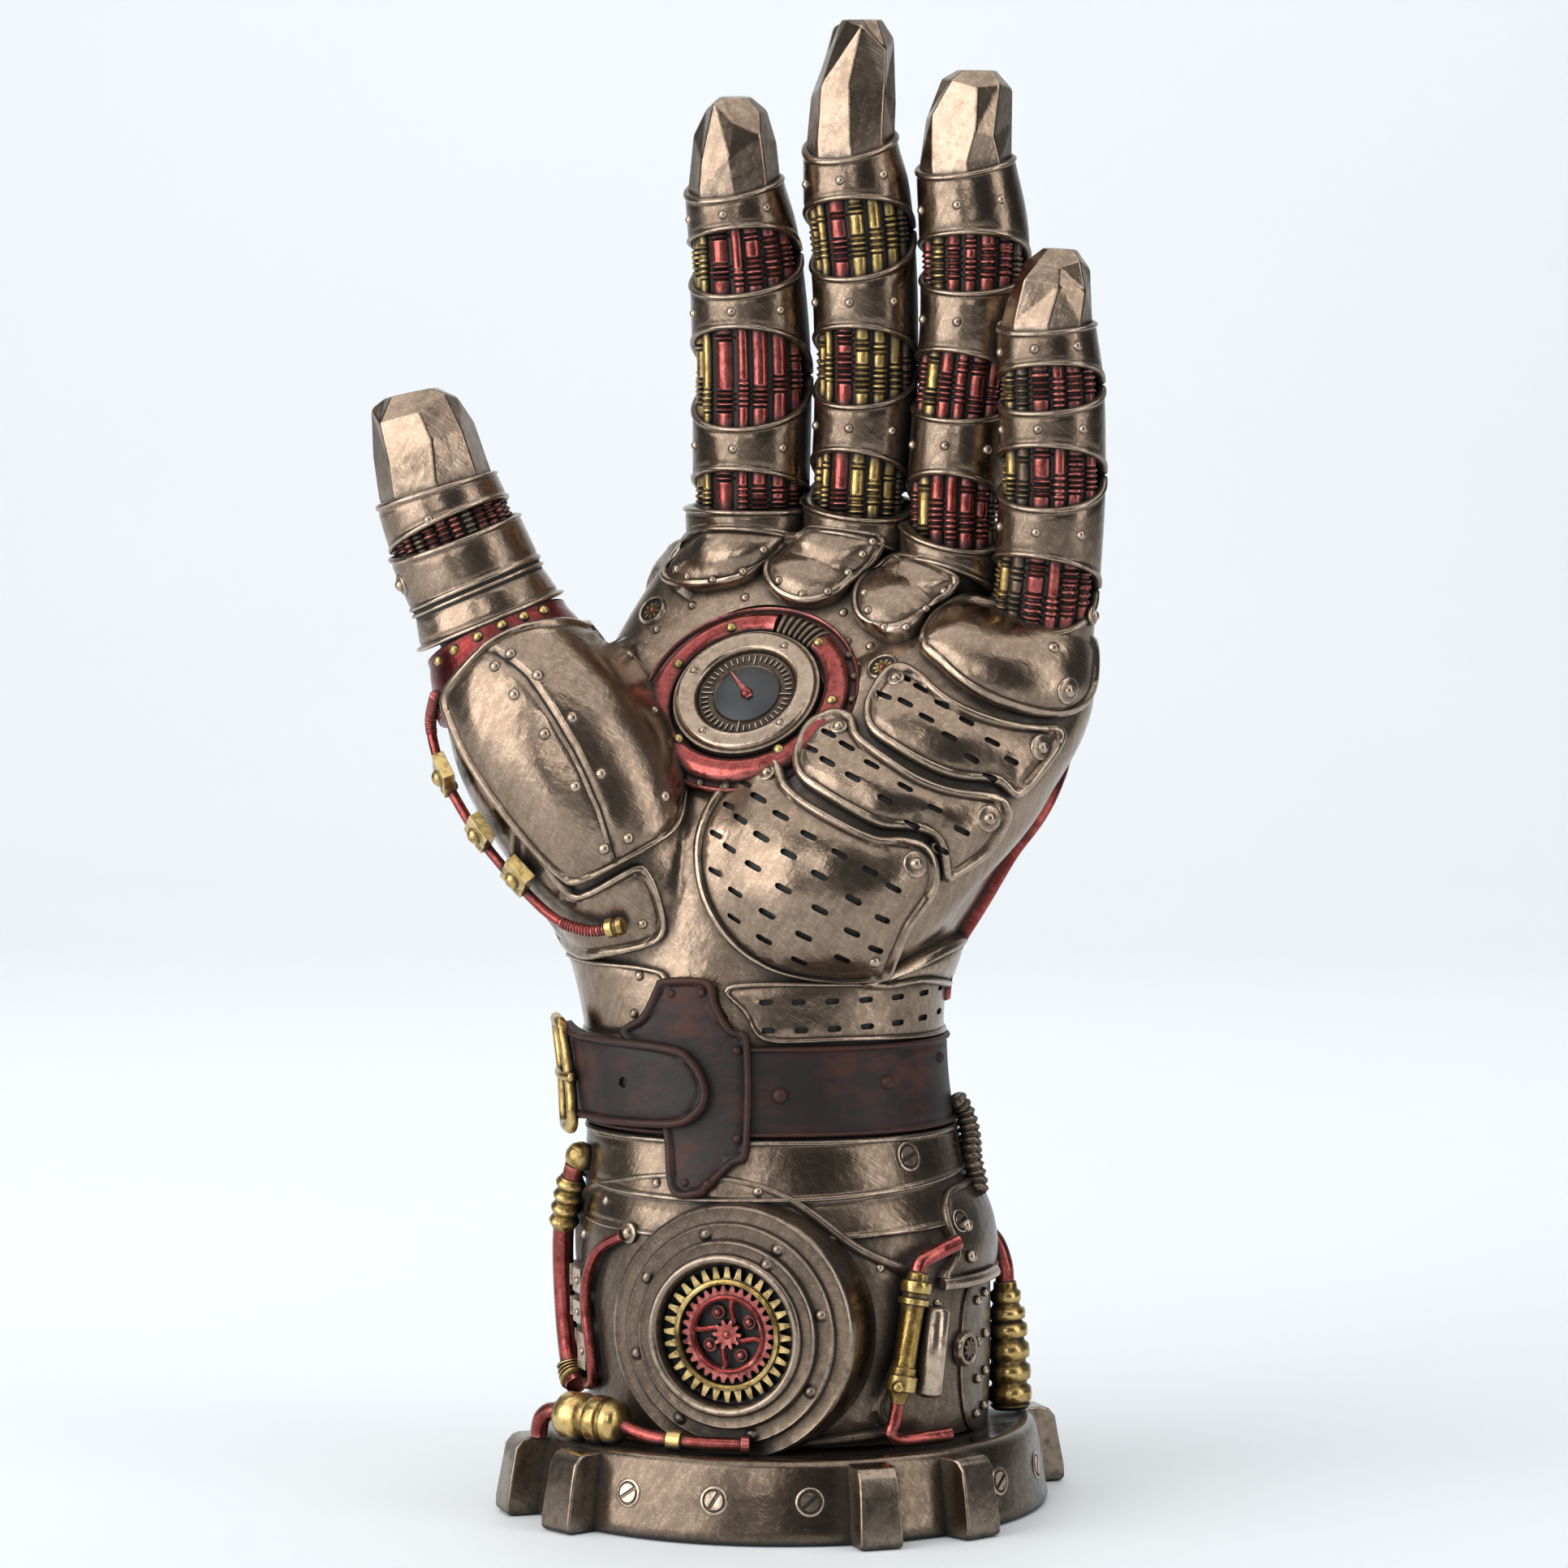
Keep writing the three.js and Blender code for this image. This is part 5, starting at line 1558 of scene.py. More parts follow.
class GAUNTLET_OT_wrist(bpy.types.Operator):
    """Add the plates of the wrist, one of them with two rows of slots"""

    bl_idname = "gauntlet.wrist"
    bl_label = "Wrist plates"

    def execute(self, context):
        holes = []
        for height, drop in ((101.4, 1.6), (96.0, 2.4)):
            for k in range(8):
                angle = 2.5 + 12.2 * k
                z = height + drop * (k / 7) ** 2
                holes.append(slot_outline(rad(angle) * ARM_REACH, z, 2, 3.4, trim("slot_width") * 1.1))
        outline = girth(
            (-9, 104.9), (-6, 99), (1.4, 93.9), (30, 93.7), (104, 93.9), (106, 104.9), (60, 105.2),
        )
        plate("wrist_slotted_armour", outline, 1.4, surface=on_arm, rim=0.5, holes=holes,
              replaces=["wrist_slotted_plate"], hole_depth=0.8)
        outline = girth(
            (-100, 94), (-44, 94), (-41, 100), (-40, 107.4), (-100, 108),
        )
        plate("wrist_left_armour", outline, 1.0, surface=on_arm, rim=0.5, replaces=["wrist_left_plate"])
        outline = girth(
            (36, 105.2), (50, 108.4), (64, 111.6), (80, 113.2), (112, 113.4), (112, 103), (94, 101.4),
            (78, 102.6), (60, 104.4), (46, 103.6),
        )
        plate("wrist_flare", outline, 1.4, surface=on_arm, rim=0.8, dome=1.6, dome_reach=5)
        return {"FINISHED"}


class GAUNTLET_OT_back(bpy.types.Operator):
    """Add the plates of the back of the hand"""

    bl_idname = "gauntlet.back"
    bl_label = "Back plates"

    def execute(self, context):
        outline = girth(
            (84, 101), (94, 100), (140, 96.5), (200, 97), (238, 99), (246, 120), (240, 150), (225, 166),
            (180, 166), (130, 160), (96, 154), (86, 146), (82, 122),
        )
        plate("back_red_armour", outline, 1.7, on_arm, rim=0.8, finishes=("red", "black"),
              replaces=["back_trim"], grid=1.8)
        outline = girth(
            (112, 106), (150, 102), (200, 102), (228, 106), (234, 124), (226, 152), (200, 161), (150, 158),
            (112, 148), (104, 126),
        )
        plate("back_armour", outline, 3.2, surface=on_arm, dome=1.4, dome_reach=16, rim=1.0,
              replaces=["back_plate"], grid=1.8, foot=0.8)
        outline = [
            (-24, 173), (-25.5, 183), (-19, 189), (2, 185), (22, 180.5), (40, 176), (55, 170.6), (59, 164),
            (50, 161), (30, 165), (5, 171),
        ]
        plate("knuckle_armour", outline, 1.6, surface=on_back, dome=1.2, dome_reach=8, rim=0.8,
              replaces=["knuckle_guard"], grid=1.6)
        return {"FINISHED"}


def dial_surround(place):
    """The red ring round the dial, open where a row of dark bars crosses it."""
    surround = Shape()
    arc = np.linspace(rad(82), rad(360 + 47), 110)
    section = [
        (15.5, -0.9), (15.5, 0.9), (15.9, 1.4), (17, 1.9), (18.4, 1.9), (19.8, 1.4), (20.3, 0.7),
        (20.4, -0.9),
    ]
    surround.rings([
        [place @ Vector((r * math.cos(a), r * math.sin(a), h)) for r, h in section] for a in arc
    ])
    floor = [
        (22.5, -0.9), (22.45, -0.2), (22.1, 0.1), (21.7, -0.1), (21.4, -0.55), (15.2, -0.6), (15.2, -1.1),
    ]
    surround.rings(turned(floor, place, 110), 0, capped=False)
    for k in range(7):
        a = rad(50 + 4.7 * k)
        out = Vector((math.cos(a), math.sin(a), 0))
        arch = ((15.3, 0.3), (16.2, 1.1), (19.2, 1.1), (20.6, 0.2))
        bar = [place @ (out * r + Vector((0, 0, h))) for r, h in arch]
        tube(surround, bar, 0.5, 1, 8, 0.4)
    surround.make("dial_red_ring", finish("red", "dark"), ["dial_surround"], flat_over=50)


def dial_gauge(place):
    """The bezel, the face with its ticks and the dark glass."""
    gauge = Shape()
    bezel = [
        (9.9, 0.9), (9.95, 1.9), (10.2, 2.5), (10.7, 2.75), (13.3, 3.0), (13.9, 2.8), (14.2, 2.3),
        (14.3, 1.9), (14.8, 1.8), (14.9, 1.4), (14.9, -0.8),
    ]
    gauge.rings(turned(bezel, place, 96), 0, capped=False)
    face = [(10, 1.0), (9.7, 1.35), (9.4, 1.1), (6.9, 1.1), (6.7, 1.45), (6.4, 1.2)]
    gauge.rings(turned(face, place, 96), 2, capped=False)
    gauge.rings(turned([(6.6, 1.2), (6.5, 1.28), (0.2, 1.35)], place, 64), 1)
    for k in range(44):
        a = rad(90 - k * 360 / 44)
        long = k % 11 == 0
        out = Vector((math.cos(a), math.sin(a), 0))
        middle = place @ (out * (8.1 if long else 8.5) + Vector((0, 0, 1.25)))
        size = (2.4 if long else 1.3, 0.2, 0.4)
        box(gauge, Matrix.Translation(middle) @ place.to_3x3().to_4x4() @ Matrix.Rotation(a, 4, "Z"), size, 0)
    gauge.make("dial_instrument", finish("bronze", "slate", "dark"), ["dial_gauge"],
               flat_over=45)


def dial_needle(place):
    """The needle and its hub."""
    needle = Shape()
    tip, tail = Vector((-4.2, 4.9, 0)), Vector((1.0, -1.2, 0))
    aside = Vector((0.75, 0.65, 0))
    outline = [tail + aside * 0.7, tail - aside * 0.7, tip - aside * 0.12, tip + aside * 0.12]
    needle.rings([[place @ (p + Vector((0, 0, h))) for p in outline] for h in (1.45, 1.95)])
    rivet_shape(needle, place @ Matrix.Translation((0, 0, 1.6)), 1.25)
    needle.make("dial_needle", finish("red"), bevel=0.08)


def dial_studs(place):
    """Gold and dark studs of the surround, and the screws of the bezel."""
    studs = Shape()
    for x, y in ((-6.5, 15.8), (-15.6, 6.6), (-11.5, -11.6), (9.6, -13.6), (12.4, 12.4), (18, -1.6)):
        rivet_shape(studs, place @ Matrix.Translation((x, y, 1.75)), 1.15, 0, 1)
    for k in range(14):
        rivet_shape(studs, beside(place, 21.4, 30 - 15 * k, 0), 0.85)
    for a in (60, 160, 238, 318):
        rivet_shape(studs, beside(place, 12.1, a, 2.85), 0.75, 1.15, 2)
    studs.make("dial_studs", finish("dark", "gold", "bronze"))


class GAUNTLET_OT_dial(bpy.types.Operator):
    """Add the dial in the palm, with its red surround, bezel, ticks and needle"""

    bl_idname = "gauntlet.dial"
    bl_label = "Dial"

    def execute(self, context):
        place = basis(DIAL_CENTRE, DIAL_NORMAL)
        for part in (dial_surround, dial_gauge, dial_needle, dial_studs):
            part(place)
        return {"FINISHED"}


def boss_drum(place):
    """The stepped drum with its rivets."""
    drum = Shape()
    profile = [
        (13.7, 1.6), (13.7, 4.6), (13.9, 5.8), (14.3, 6.4), (14.9, 6.6), (15.5, 6.4), (15.8, 5.8),
        (15.9, 5.2),
        (17.4, 5.1), (17.8, 5.3), (18.2, 5.0), (18.3, 4.2), (18.5, 3.4), (20.6, 3.3), (21.1, 3.45),
        (21.5, 3.1),
        (21.6, 2.1), (23.7, 1.9), (24.2, 2.1), (24.7, 1.7), (24.9, 0.4), (25.3, -2), (25.7, -8.4),
        (25.4, -9.6),
    ]
    drum.rings(turned(profile, place, 128), 0, capped=False)
    for k in range(8):
        rivet_shape(drum, beside(place, 19.6, 14 + 45 * k, 3.3), 1.15, 1.5)
    rivet_shape(drum, place @ Matrix.Translation((8.6, 14.2, 5.2)), 1.15, 1.5)
    ARMOUR.append(drum.make("boss_drum", finish("shell"), ["gear_boss"], flat_over=55))


def boss_ring_gear(place):
    """The gold ring gear and a black disc behind it."""
    gears = Shape()
    gears.rings(turned([(13.9, 2.0), (0.4, 2.0), (0.4, 1.4), (13.9, 1.4)], place, 48), 2, joined=True)
    teeth = gear_outline(32, 13.1, 10.9)
    slab(gears, teeth, circle(9.75, len(teeth)), 2.2, 4.2, place)
    rim = [(9.75, 4.1), (9.8, 4.7), (10.2, 4.95), (10.7, 4.7), (10.8, 4.1)]
    gears.rings(turned(rim, place, 72), 0, joined=True)
    gears.make("boss_ring_gear", finish("gold", "red", "black"), ["ring_gear"], bevel=0.12)


def boss_spoked_gear(place):
    """The red gear with four bent spokes, a small pinion and a hub."""
    wheel = Shape()
    teeth = gear_outline(30, 9.5, 8.4)
    slab(wheel, teeth, circle(6.6, len(teeth)), 2.3, 3.9, place)
    wheel.rings(turned([(6.6, 3.8), (6.8, 4.2), (7.2, 4.35), (7.6, 4.15), (7.7, 3.8)], place, 64),
                joined=True)
    for k in range(4):
        path = []
        for r, bend in ((1.5, 0), (3.0, 7), (4.6, 18), (5.8, 22), (7.0, 20)):
            a = rad(62 + 90 * k + bend)
            path.append(place @ Vector((r * math.cos(a), r * math.sin(a), 3.5)))
        tube(wheel, path, 0.62, 0, 8, 0.5)
        rivet_shape(wheel, beside(place, 4.7, 30 + 90 * k, 2.8), 0.9, 1.5)
    slab(wheel, gear_outline(10, 2.9, 2.0), None, 2.4, 4.4, place)
    rivet_shape(wheel, place @ Matrix.Translation((0, 0, 4.3)), 0.9)
    wheel.make("boss_spoked_gear", finish("red"), ["spoked_gear"], bevel=0.1)


class GAUNTLET_OT_boss(bpy.types.Operator):
    """Add the round boss of the cuff, with its ring gear and spoked gear"""

    bl_idname = "gauntlet.boss"
    bl_label = "Gear boss"

    def execute(self, context):
        place = basis(BOSS_CENTRE, BOSS_NORMAL)
        for part in (boss_drum, boss_ring_gear, boss_spoked_gear):
            part(place)
        return {"FINISHED"}


class GAUNTLET_OT_cuff(bpy.types.Operator):
    """Add the cuff's plate and the two lames over it"""

    bl_idname = "gauntlet.cuff"
    bl_label = "Cuff plate and lames"

    def execute(self, context):
        outline = girth(
            (-98, 17.4), (-98, 50), (-90, 57), (-70, 64.4), (-36, 68.4), (-13, 68), (5, 64.1), (21.5, 55.5),
            (38, 49.4), (37, 42), (33.5, 32), (27, 24), (22, 17.4),
        )
        middle = rad(-15.3) * ARM_REACH
        opening = [(middle + 17 * math.cos(a), 38.6 + 18 * math.sin(a)) for a in full_turn(40)]
        plate("cuff_armour", outline, 1.2, surface=on_arm, rim=0.95, replaces=["cuff_plate"], grid=1.6,
              finishes=("shell", "black"), windows=[opening])
        outline = girth(
            (50, 46.6), (54, 52), (52, 58), (58, 63), (74, 64), (100, 64), (104, 55), (100, 46.6),
        )
        plate("cuff_side_armour", outline, 1.5, surface=on_arm, rim=0.6, dome=1.0, dome_reach=6, grid=1.6,
              finishes=("shell", "black"))
        outline = girth(
            (62, 17.2), (62, 45), (104, 45), (104, 17.2),
        )
        plate("cuff_side_strip", outline, 0.7, surface=on_arm, rim=0, grid=1.8, finishes=("shell", "black"))

        def drop(a):
            return 0.5 + 0.5 * math.cos(a + 0.35)

        armour_band("cuff_upper_lame", arm_point, lambda a: 69.4 - 6.2 * drop(a), lambda a: 75.2,
                    replaces=["cuff_lame_upper"], sides=120, grow=2.0, thick=1.7)
        armour_band("cuff_lower_lame", arm_point, lambda a: 60 - 4 * drop(a), lambda a: 70 - 6.2 * drop(a),
                    replaces=["cuff_lame_lower"], sides=120, grow=1.1, thick=0.9)
        return {"FINISHED"}


class GAUNTLET_OT_strap(bpy.types.Operator):
    """Add the wrist strap, its tongue, the riveted plate and the buckle"""

    bl_idname = "gauntlet.strap"
    bl_label = "Strap and buckle"

    def execute(self, context):
        armour_band("strap_belt", arm_point, lambda a: 75.6, lambda a: 93, "leather", ["wrist_strap"],
                    "strap_leather", sides=120, grow=1.9, thick=1.2, rim=0.7, steps=9)
        plate("strap_riveted_plate", STRAP_PLATE, 3.3, rim=0.7,
              finishes=("leather", "black"), replaces=["strap_plate"], foot=2.4, grid=1.1)
        tongue = girth((-88, 94.6), (-72, 94.8), (-60, 94.4), (-32, 93), (-24, 90.4), (-20, 86), (-20, 82.2),
                (-24, 78.8), (-32, 76.8), (-60, 76.9), (-72, 77.2), (-88, 77.4))
        holes = [slot_outline(rad(a) * ARM_REACH, 85.4, 0, 2.4, 2.2) for a in (-74, -49)]
        plate("strap_end", tongue, 5.2, on_arm, rim=0.8, finishes=("leather", "black"),
              replaces=["strap_tongue"], foot=3.6, grid=1.1, holes=holes)
        buckle = Shape()
        corners = [(-72, 75.8), (-72, 85), (-72, 94.6), (-80, 95.4), (-88, 94.6), (-89, 85), (-88, 75.8),
                (-80, 75)]
        path = smooth_path([arm_point(z, rad(a), 6.4) for a, z in corners], 0.8, closed=True)
        buckle.rings(tube_rings(path, 1.15, 12), joined=True)
        tube(buckle, [arm_point(85.2, rad(a), g) for a, g in ((-88, 7.0), (-80, 7.3), (-74, 7.5),
                (-68, 6.6))], 0.9)
        buckle.make("strap_brass_buckle", finish("gold"), ["strap_buckle"])
        return {"FINISHED"}


def thumb_tubing(colours):
    """The thin pipe beside the ball of the thumb, its three clamps and its end fitting."""
    thumb = Shape()
    route = [(4.2, -54), (3.95, -84), (3.35, -80), (3, -72), (2.35, -66), (1.6, -52), (1.3, -36), (1.2, -20)]
    path = smooth_path([ROOT.point(s, rad(a), 3.2) for s, a in route], 0.25)
    length = len(path) * 0.25

    def radius(share):
        ends = max(1 - share / 0.17, (share - 0.84) / 0.16, 0)
        ripple = math.sin(share * length / 0.62 * math.pi) ** 2
        return 1.0 + (0.28 * ripple if ends > 0 else 0)

    thumb.rings(tube_rings(path, radius, 14), 0)
    for share in (0.34, 0.52, 0.68):
        k = int(share * (len(path) - 1))
        point, ahead = Vector(path[k]), Vector(path[k + 4])
        axis = (ahead - point).normalized()
        fitting(thumb, point - axis * 1.6, point + axis * 1.6, [
            (0, 1.1), (0.02, 1.7), (0.3, 1.8), (0.38, 1.5), (0.62, 1.5), (0.7, 1.8), (0.98, 1.7), (1, 1.1),
        ], 1)
        hit = body().tree.find_nearest(point)
        out = hit[1] if hit[1] is not None else Vector((0, -1, 0))
        inner = axis.cross(out)
        if inner.x < 0:
            inner = -inner
        pad = basis(point + inner * 2.9 - axis * 0.6 + Vector(out) * 0.6, out, axis)
        box(thumb, pad @ Matrix.Translation((0, 0, -0.3)), (7.4, 6.0, 2.4), 1)
        rivet_shape(thumb, pad @ Matrix.Translation((0.6, 0, 0.9)), 1.8, 0, 1)
    end = Vector(path[-1])
    before = Vector(path[-6])
    axis = (end - before).normalized()
    fitting(thumb, end - axis * 1.6, end + axis * 2.4, [
        (0, 1.3), (0.04, 1.9), (0.4, 2.0), (0.46, 1.6), (0.6, 1.6), (0.66, 1.9), (0.9, 1.7), (1, 0.6),
    ], 1)
    thumb.make("thumb_tubing", colours, ["thumb_pipe"], bevel=0.25, bevel_over=50)


def cuff_tubing(colours):
    """The two pipes at the cuff's left and the stacked blocks between them."""
    left = Shape()
    points = [arm_point(z, rad(a), g) for z, a, g in (
        (67.4, -77, 4.4), (62, -80, 4.4), (56, -83, 4.2), (48, -86, 4.2), (36, -86, 4.2), (27, -84, 4.2),
        (23.4, -78, 4))]
    tube(left, points, 2.1, 0)
    for low, high in ((0.06, 0.3), (0.86, 0.97)):
        path = smooth_path(points, 0.4)
        part = path[int(low * len(path)):int(high * len(path))]
        left.rings(tube_rings(part, ribbed(2.75, 4, 0.12), 16), 1)
    top = Vector(points[0])
    place = basis(top + Vector((0.6, -0.6, 1.6)), (-0.5, -0.85, 0.1))
    rivet_shape(left, place, 3.0, 0, 1)
    inner = [arm_point(z, rad(a), 2.6) for z, a in (
        (56, -47), (54, -54), (51, -60), (46, -65), (41, -67), (34, -66), (27, -66), (25, -68), (24.2, -76))]
    tube(left, inner, 1.15, 0)
    rivet_shape(left, basis(arm_point(56.4, rad(-46), 1.8), (-0.7, -0.7, 0)), 1.3, 2.1, 3)
    for low, high, grow in ((36.6, 41, 3.2), (42.6, 47.4, 3.0), (27.4, 34.6, 3.0)):
        middle = 0.5 * (low + high)
        for k, angle in enumerate((-73, -87)):
            box(left, arm_place(middle, angle, grow - 2.2), (5.4, high - low - 0.5 * k, 4.4), 3)
        out = arm_point(middle, rad(-73), 5) - arm_point(middle, rad(-73), 0)
        rivet_shape(left, basis(arm_point(middle, rad(-72), grow), out), 0.8, 0, 3)
    left.make("cuff_tubing", colours, ["cuff_pipe"], bevel=0.3, bevel_over=50)


def stand_cartridge(colours):
    """The cartridge that lies on the stand, with a pipe at each end."""
    cartridge = Shape()
    fitting(cartridge, (-43.8, -25, 20.8), (-30.8, -34.7, 20.4), [
        (0, 1.4), (0.02, 2.9), (0.08, 3.1), (0.1, 4.2), (0.14, 4.6), (0.4, 4.65), (0.43, 4.2), (0.46, 3.8),
        (0.52, 3.8), (0.55, 4.6), (0.6, 4.75), (0.72, 4.7), (0.74, 4.1), (0.78, 4.0), (0.8, 4.4), (0.92, 4.1),
        (0.97, 3.0), (1, 1.4)], 1, 32)
    tube(cartridge, [(-32, -33.8, 20.4), (-28.6, -36.3, 19.2), (-24, -38.8, 18.3), (-15, -41.6, 17.8),
            (-7, -42.4, 17.7)], 1.35, 0)
    tube(cartridge, [(-42, -26.4, 20.8), (-45.4, -23.8, 21), (-47.2, -22, 19.4), (-47.8, -21, 17.2),
            (-47.9, -20.6, 15.6)], 1.7, 0)
    fitting(cartridge, (-22.4, -39.4, 18.1), (-19.4, -40.4, 18.0),
            [(0, 1.3), (0.05, 2.1), (0.95, 2.1), (1, 1.3)], 1)
    fitting(cartridge, (-8.4, -42.2, 17.7), (-6.4, -42.3, 17.7),
            [(0, 1.2), (0.1, 2.0), (0.9, 2.0), (1, 1.6)], 0)
    cartridge.make("stand_cartridge", colours, ["base_cartridge"], bevel=0.15, bevel_over=50)


def cuff_piston(colours):
    """The piston with its pipes, the round bar beside it, the small port and the shelf."""
    piston = Shape()
    fitting(piston, (25.9, -35.4, 50.2), (21.8, -38.6, 25.0), [
        (0, 1.3), (0.02, 2.0), (0.07, 2.1), (0.08, 2.9), (0.12, 3.1), (0.16, 2.9), (0.17, 2.4), (0.2, 2.4),
        (0.21, 3.0), (0.25, 3.0), (0.26, 2.3), (0.72, 2.2), (0.73, 2.6), (0.78, 2.6), (0.79, 3.1), (0.9, 3.1),
        (0.91, 2.2), (1, 1.5)], 1, 28)
    tube(piston, [(25.8, -35.2, 50), (26.6, -34.6, 52), (29.6, -32.6, 53.4), (33.6, -29, 54.8)], 1.6, 0)
    tube(piston, [(22, -38.4, 26), (21.2, -39, 21.6), (20.6, -39.2, 19.2), (22.6, -38, 17.9),
            (27, -35.6, 17.8), (32, -32, 17.9)], 1.4, 0)
    rivet_shape(piston, basis((21.9, -41.2, 28.6), (0.1, -1, 0.1)), 1.3, 0, 1)
    bar = basis((29.6, -34.6, 34.2), (0.62, -0.78, 0), (0.16, 0, 1))
    fitting(piston, bar @ Vector((-0.2, -8.8, -1.4)), bar @ Vector((-0.2, 8.8, -1.4)), [
        (0, 1.2), (0.02, 2.3), (0.05, 2.7), (0.95, 2.7), (0.98, 2.3), (1, 1.2)], 3, 20)
    rivet_shape(piston, bar @ Matrix.Translation((-0.2, 9.4, -1.2)), 0.9, 0, 3)
    port = basis(arm_point(32.8, rad(58), 1.0), (0.84, -0.54, 0))
    lathe(piston, [(1.9, 0.2), (2.4, 0.7), (3.1, 0.7), (3.5, 0.1), (3.5, -1)], port, 32, 3)
    slab(piston, gear_outline(9, 2.1, 1.4), None, 0.2, 0.9, port, 2)
    shelf = [arm_point(46.4, rad(a), g) for a, g in ((46, 1.4), (54, 2.2), (64, 2.4), (76, 2.2))]
    tube(piston, shelf, 1.3, 3)
    piston.make("cuff_piston", colours, ["piston"], bevel=0.25, bevel_over=45)


def cuff_bellows(colours):
    """The bellows at the cuff's right with its pipe, and the ribbed hose above it."""
    bellows = Shape()
    profile = [(0, 3.4), (0.03, 4.1)]
    for low, high, wide in ((0.05, 0.19, 4.45), (0.22, 0.36, 4.45), (0.39, 0.53, 4.4), (0.56, 0.68, 4.2),
                            (0.7, 0.8, 3.9)):
        span = high - low
        profile += [(low, wide - 0.9), (low + 0.15 * span, wide - 0.15), (low + 0.5 * span, wide),
                    (low + 0.85 * span, wide - 0.15), (high, wide - 0.9)]
    profile += [(0.83, 2.6), (0.86, 3.1), (0.92, 3.1), (0.94, 2.4), (1, 2.3)]
    fitting(bellows, (45.4, 5, 16.4), (44.2, 5, 42), profile, 1, 36)
    tube(bellows, [(44.2, 5, 40.6), (44, 5, 45), (42.6, 4.8, 49.4), (40.6, 4.6, 51.8), (37.4, 4.4, 53)], 1.9,
         0)
    hose = [arm_point(z, rad(a), g) for z, a, g in (
        (80, 84, 2.6), (77, 86, 3.9), (72.8, 84, 4.2), (68.4, 80, 3.6), (64.6, 79, 3.2), (61.8, 77, 2.2))]
    path = smooth_path(hose, 0.25)
    bellows.rings(tube_rings(path, ribbed(2.0, 13, 0.14), 14), 2)
    bellows.make("cuff_bellows", colours, ["side_bellows"], bevel=0.1, bevel_over=60)


class GAUNTLET_OT_pipes(bpy.types.Operator):
    """Add the pipes, the cartridge, the piston, the bellows and the small works beside them"""

    bl_idname = "gauntlet.pipes"
    bl_label = "Pipes and works"

    def execute(self, context):
        colours = finish("red", "gold", "dark", "bronze", "black")
        for part in (thumb_tubing, cuff_tubing, stand_cartridge, cuff_piston, cuff_bellows):
            part(colours)
        return {"FINISHED"}


def gear_ports(tree):
    """Two round ports of the palm with a small gear in each."""
    ports = Shape()
    for place in seats(tree, ((-26.3, 175.9), (19.3, 165.6))):
        lathe(ports, [(2.45, 0.1), (2.6, 0.55), (2.9, 0.65), (3.2, 0.4), (3.4, -0.6)], place, 32)
        # The port's floor is black: painted shade in the recess.
        ports.rings(turned([(2.6, 0.12), (1.2, 0.1), (0.1, 0.1)], place, 32), 1)
        slab(ports, gear_outline(9, 1.9, 1.25), None, 0.06, 0.3, place, 2)
        rivet_shape(ports, place @ Matrix.Translation((0, 0, 0.2)), 0.8, 0, 3)
    ports.make("palm_gear_ports", finish("bronze", "black", "gold", "red"), flat_over=45)


def side_rivets():
    """Rivets of the cuff's right side and back, and the knobs beside the little finger."""
    sides = Shape()
    for column, angle in enumerate((66, 72.5)):
        for z in (19, 26, 33.4, 41.6):
            out = arm_point(z, rad(angle), 5) - arm_point(z, rad(angle), 0)
            rivet_shape(sides, basis(arm_point(z + column, rad(angle), 1.0), out), 0.95)
    for angle in range(112, 250, 19):
        for z in (22, 54):
            rivet_shape(sides, arm_place(z, angle, 0.1), 1.3, 2.0)
    for z in (51, 57):
        rivet_shape(sides, arm_place(z, 58, 2.6), 1.3)
    for z in (165.4, 177.6):
        here = FINGER_LIMBS["little"].point(z, rad(82), 0.2)
        rivet_shape(sides, basis(here, (1, -0.35, 0.1)), 1.2, 1.9)
    sides.make("rivets_side", finish("bronze"))


def strap_rivets(tree):
    """Rivets of the strap and its riveted plate, as x, z and radius."""
    leather = Shape()
    for radius, places in (
        (0.9, [(-21.8, 103.1), (-15.9, 103.4), (-9.1, 92.4), (-19.1, 67), (-14.7, 67), (-9, 75.6)]),
        (1.7, [(-0.8, 83.6)]), (1.6, [(20.1, 85.4)]), (1.2, [(30.7, 88.7)]),
    ):
        for place in seats(tree, places):
            rivet_shape(leather, place, radius)
    leather.make("rivets_strap", finish("leather"))


def cuff_screws(tree):
    """Two slotted screws at the cuff's right."""
    screws = Shape()
    for spot, radius in (((24.1, 71), 2.9), ((34.4, 58), 2.3)):
        for place in seats(tree, [spot]):
            screw_head(screws, place, radius, 20)
    screws.make("cuff_screws", finish("bronze", "black"), flat_over=40)


def back_rivets(tree):
    """Rivets with washers on the back of the hand."""
    back = Shape()
    places = [(-20, 178), (0, 176), (22, 171), (42, 166), (52, 167), (-22, 150), (-20, 120), (-10, 108),
            (12, 105), (30, 120), (40, 140), (20, 158), (-4, 160)]
    for place in seats(tree, places, 1):
        rivet_shape(back, place, 1.4, 2.2)
    back.make("rivets_back", finish("bronze"))


class GAUNTLET_OT_rivets(bpy.types.Operator):
    """Add the rivets and screws on the plates"""

    bl_idname = "gauntlet.rivets"
    bl_label = "Rivets"

    def execute(self, context):
        tree = armour_tree()
        for name, (radius, washer, places) in RIVETS.items():
            shape = Shape()
            for place in seats(tree, places):
                rivet_shape(shape, place, radius, washer)
            shape.make(f"rivets_{name}", finish("bronze"))
        gear_ports(tree)
        side_rivets()
        strap_rivets(tree)
        cuff_screws(tree)
        back_rivets(tree)
        return {"FINISHED"}


def aimed(made, where, target):
    """Puts a light or a camera somewhere and turns it towards a target."""
    made.location = where
    made.rotation_euler = (Vector(target) - made.location).to_track_quat("-Z", "Y").to_euler()
    return made


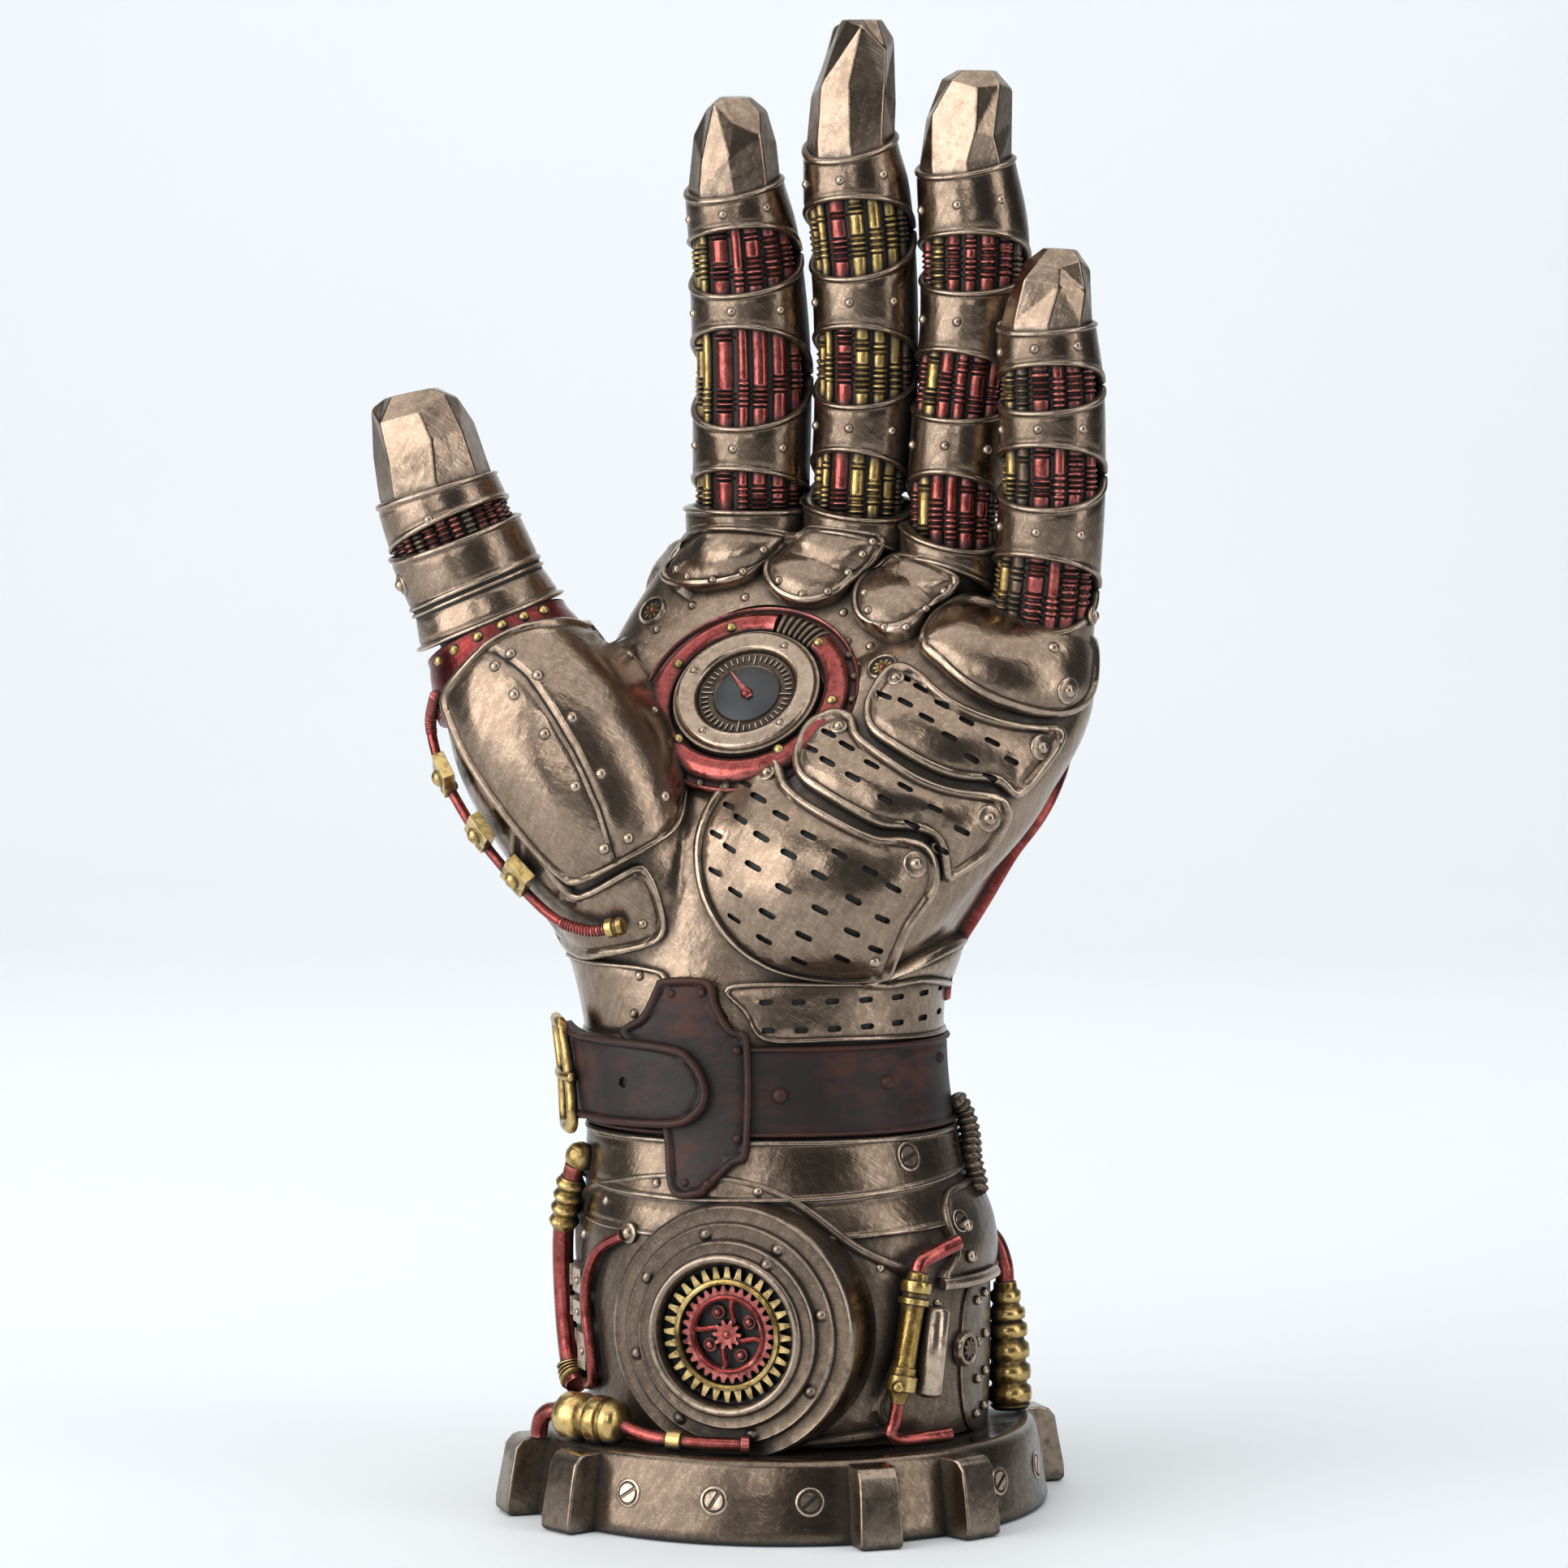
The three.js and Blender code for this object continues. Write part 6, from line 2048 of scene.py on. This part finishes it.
def area_light(name, where, target, size, power):
    """A rectangular soft light; power is in watts."""
    data = bpy.data.lights.new(name, "AREA")
    data.shape = "RECTANGLE"
    data.size, data.size_y = size
    data.energy = power
    aimed(linked(name, data), where, target)


class GAUNTLET_OT_stage(bpy.types.Operator):
    """Add the pale floor and backdrop, the soft lights and the camera"""

    bl_idname = "gauntlet.stage"
    bl_label = "Stage"

    def execute(self, context):
        colour = tuple(context.scene.gauntlet_colours.floor)
        profile = [(-3.0, 0), (1.2, 0)]
        profile += [(1.2 + 0.9 * math.sin(rad(t)), 0.9 - 0.9 * math.cos(rad(t))) for t in range(10, 90, 10)]
        profile += [(2.1, 0.9), (2.1, 4.0)]
        verts = [(x, y, z - 0.0002) for y, z in profile for x in (-4.0, 4.0)]
        faces = [(2 * i, 2 * i + 1, 2 * i + 3, 2 * i + 2) for i in range(len(profile) - 1)]
        mesh = bpy.data.meshes.new("studio_sweep")
        mesh.from_pydata(verts, [], faces)
        mesh.polygons.foreach_set("use_smooth", [True] * len(mesh.polygons))
        mesh.materials.append(studio_floor("pale_floor", colour))
        sweep = linked("studio_sweep", mesh)

        world = bpy.data.worlds.new("studio")
        world.use_nodes = True
        world.node_tree.nodes["Background"].inputs["Color"].default_value = (0.8, 0.88, 1.0, 1)
        world.node_tree.nodes["Background"].inputs["Strength"].default_value = 0.1
        context.scene.world = world
        context.scene.view_settings.view_transform = "Standard"
        middle = (0, 0, 0.15)
        area_light("left_softbox", (-1.08, -0.7, 0.5), middle, (1.4, 1.2), 18)
        area_light("front_softbox", (-0.24, -1.25, 0.6), middle, (0.34, 0.7), 2.0)
        area_light("right_softbox", (1.05, -0.62, 0.45), middle, (0.5, 1.1), 4)
        area_light("top_softbox", (0, -0.2, 1.3), middle, (2.4, 1.5), 14.5)
        area_light("backdrop_light", (0, 0.5, 1.6), (0, 1.9, 0.9), (2.4, 0.8), 24)

        camera = bpy.data.cameras.new("camera")
        camera.lens = 121.9
        camera.sensor_width = 36
        context.scene.camera = aimed(linked("camera", camera), (0, -1.05, 0.204), (0, 0, 0.142))
        return {"FINISHED"}


OPERATORS = [
    GAUNTLET_OT_stand, GAUNTLET_OT_body, GAUNTLET_OT_palm, GAUNTLET_OT_wrist, GAUNTLET_OT_back,
    GAUNTLET_OT_fingers, GAUNTLET_OT_thumb, GAUNTLET_OT_dial, GAUNTLET_OT_cuff, GAUNTLET_OT_boss,
    GAUNTLET_OT_strap, GAUNTLET_OT_pipes, GAUNTLET_OT_rivets, GAUNTLET_OT_stage,
]


class GAUNTLET_PT_panel(bpy.types.Panel):
    """Lists the gauntlet's settings and the operators that build it"""

    bl_idname = "GAUNTLET_PT_panel"
    bl_label = "Gauntlet"
    bl_space_type = "VIEW_3D"
    bl_region_type = "UI"
    bl_category = "Gauntlet"

    def draw(self, context):
        for group in (context.scene.gauntlet_colours, context.scene.gauntlet_sizes):
            for key in group.bl_rna.properties.keys():
                if key not in ("rna_type", "name"):
                    self.layout.prop(group, key)
        for operator in OPERATORS:
            self.layout.operator(operator.bl_idname)


CLASSES = [GauntletColours, GauntletSizes, *OPERATORS, GAUNTLET_PT_panel]


def register():
    for cls in CLASSES:
        bpy.utils.register_class(cls)
    bpy.types.Scene.gauntlet_colours = PointerProperty(type=GauntletColours)
    bpy.types.Scene.gauntlet_sizes = PointerProperty(type=GauntletSizes)


def unregister():
    del bpy.types.Scene.gauntlet_sizes
    del bpy.types.Scene.gauntlet_colours
    for cls in reversed(CLASSES):
        bpy.utils.unregister_class(cls)


def main():
    register()
    for operator in OPERATORS:
        group, name = operator.bl_idname.split(".")
        getattr(getattr(bpy.ops, group), name)()


if __name__ == "__main__":
    main()
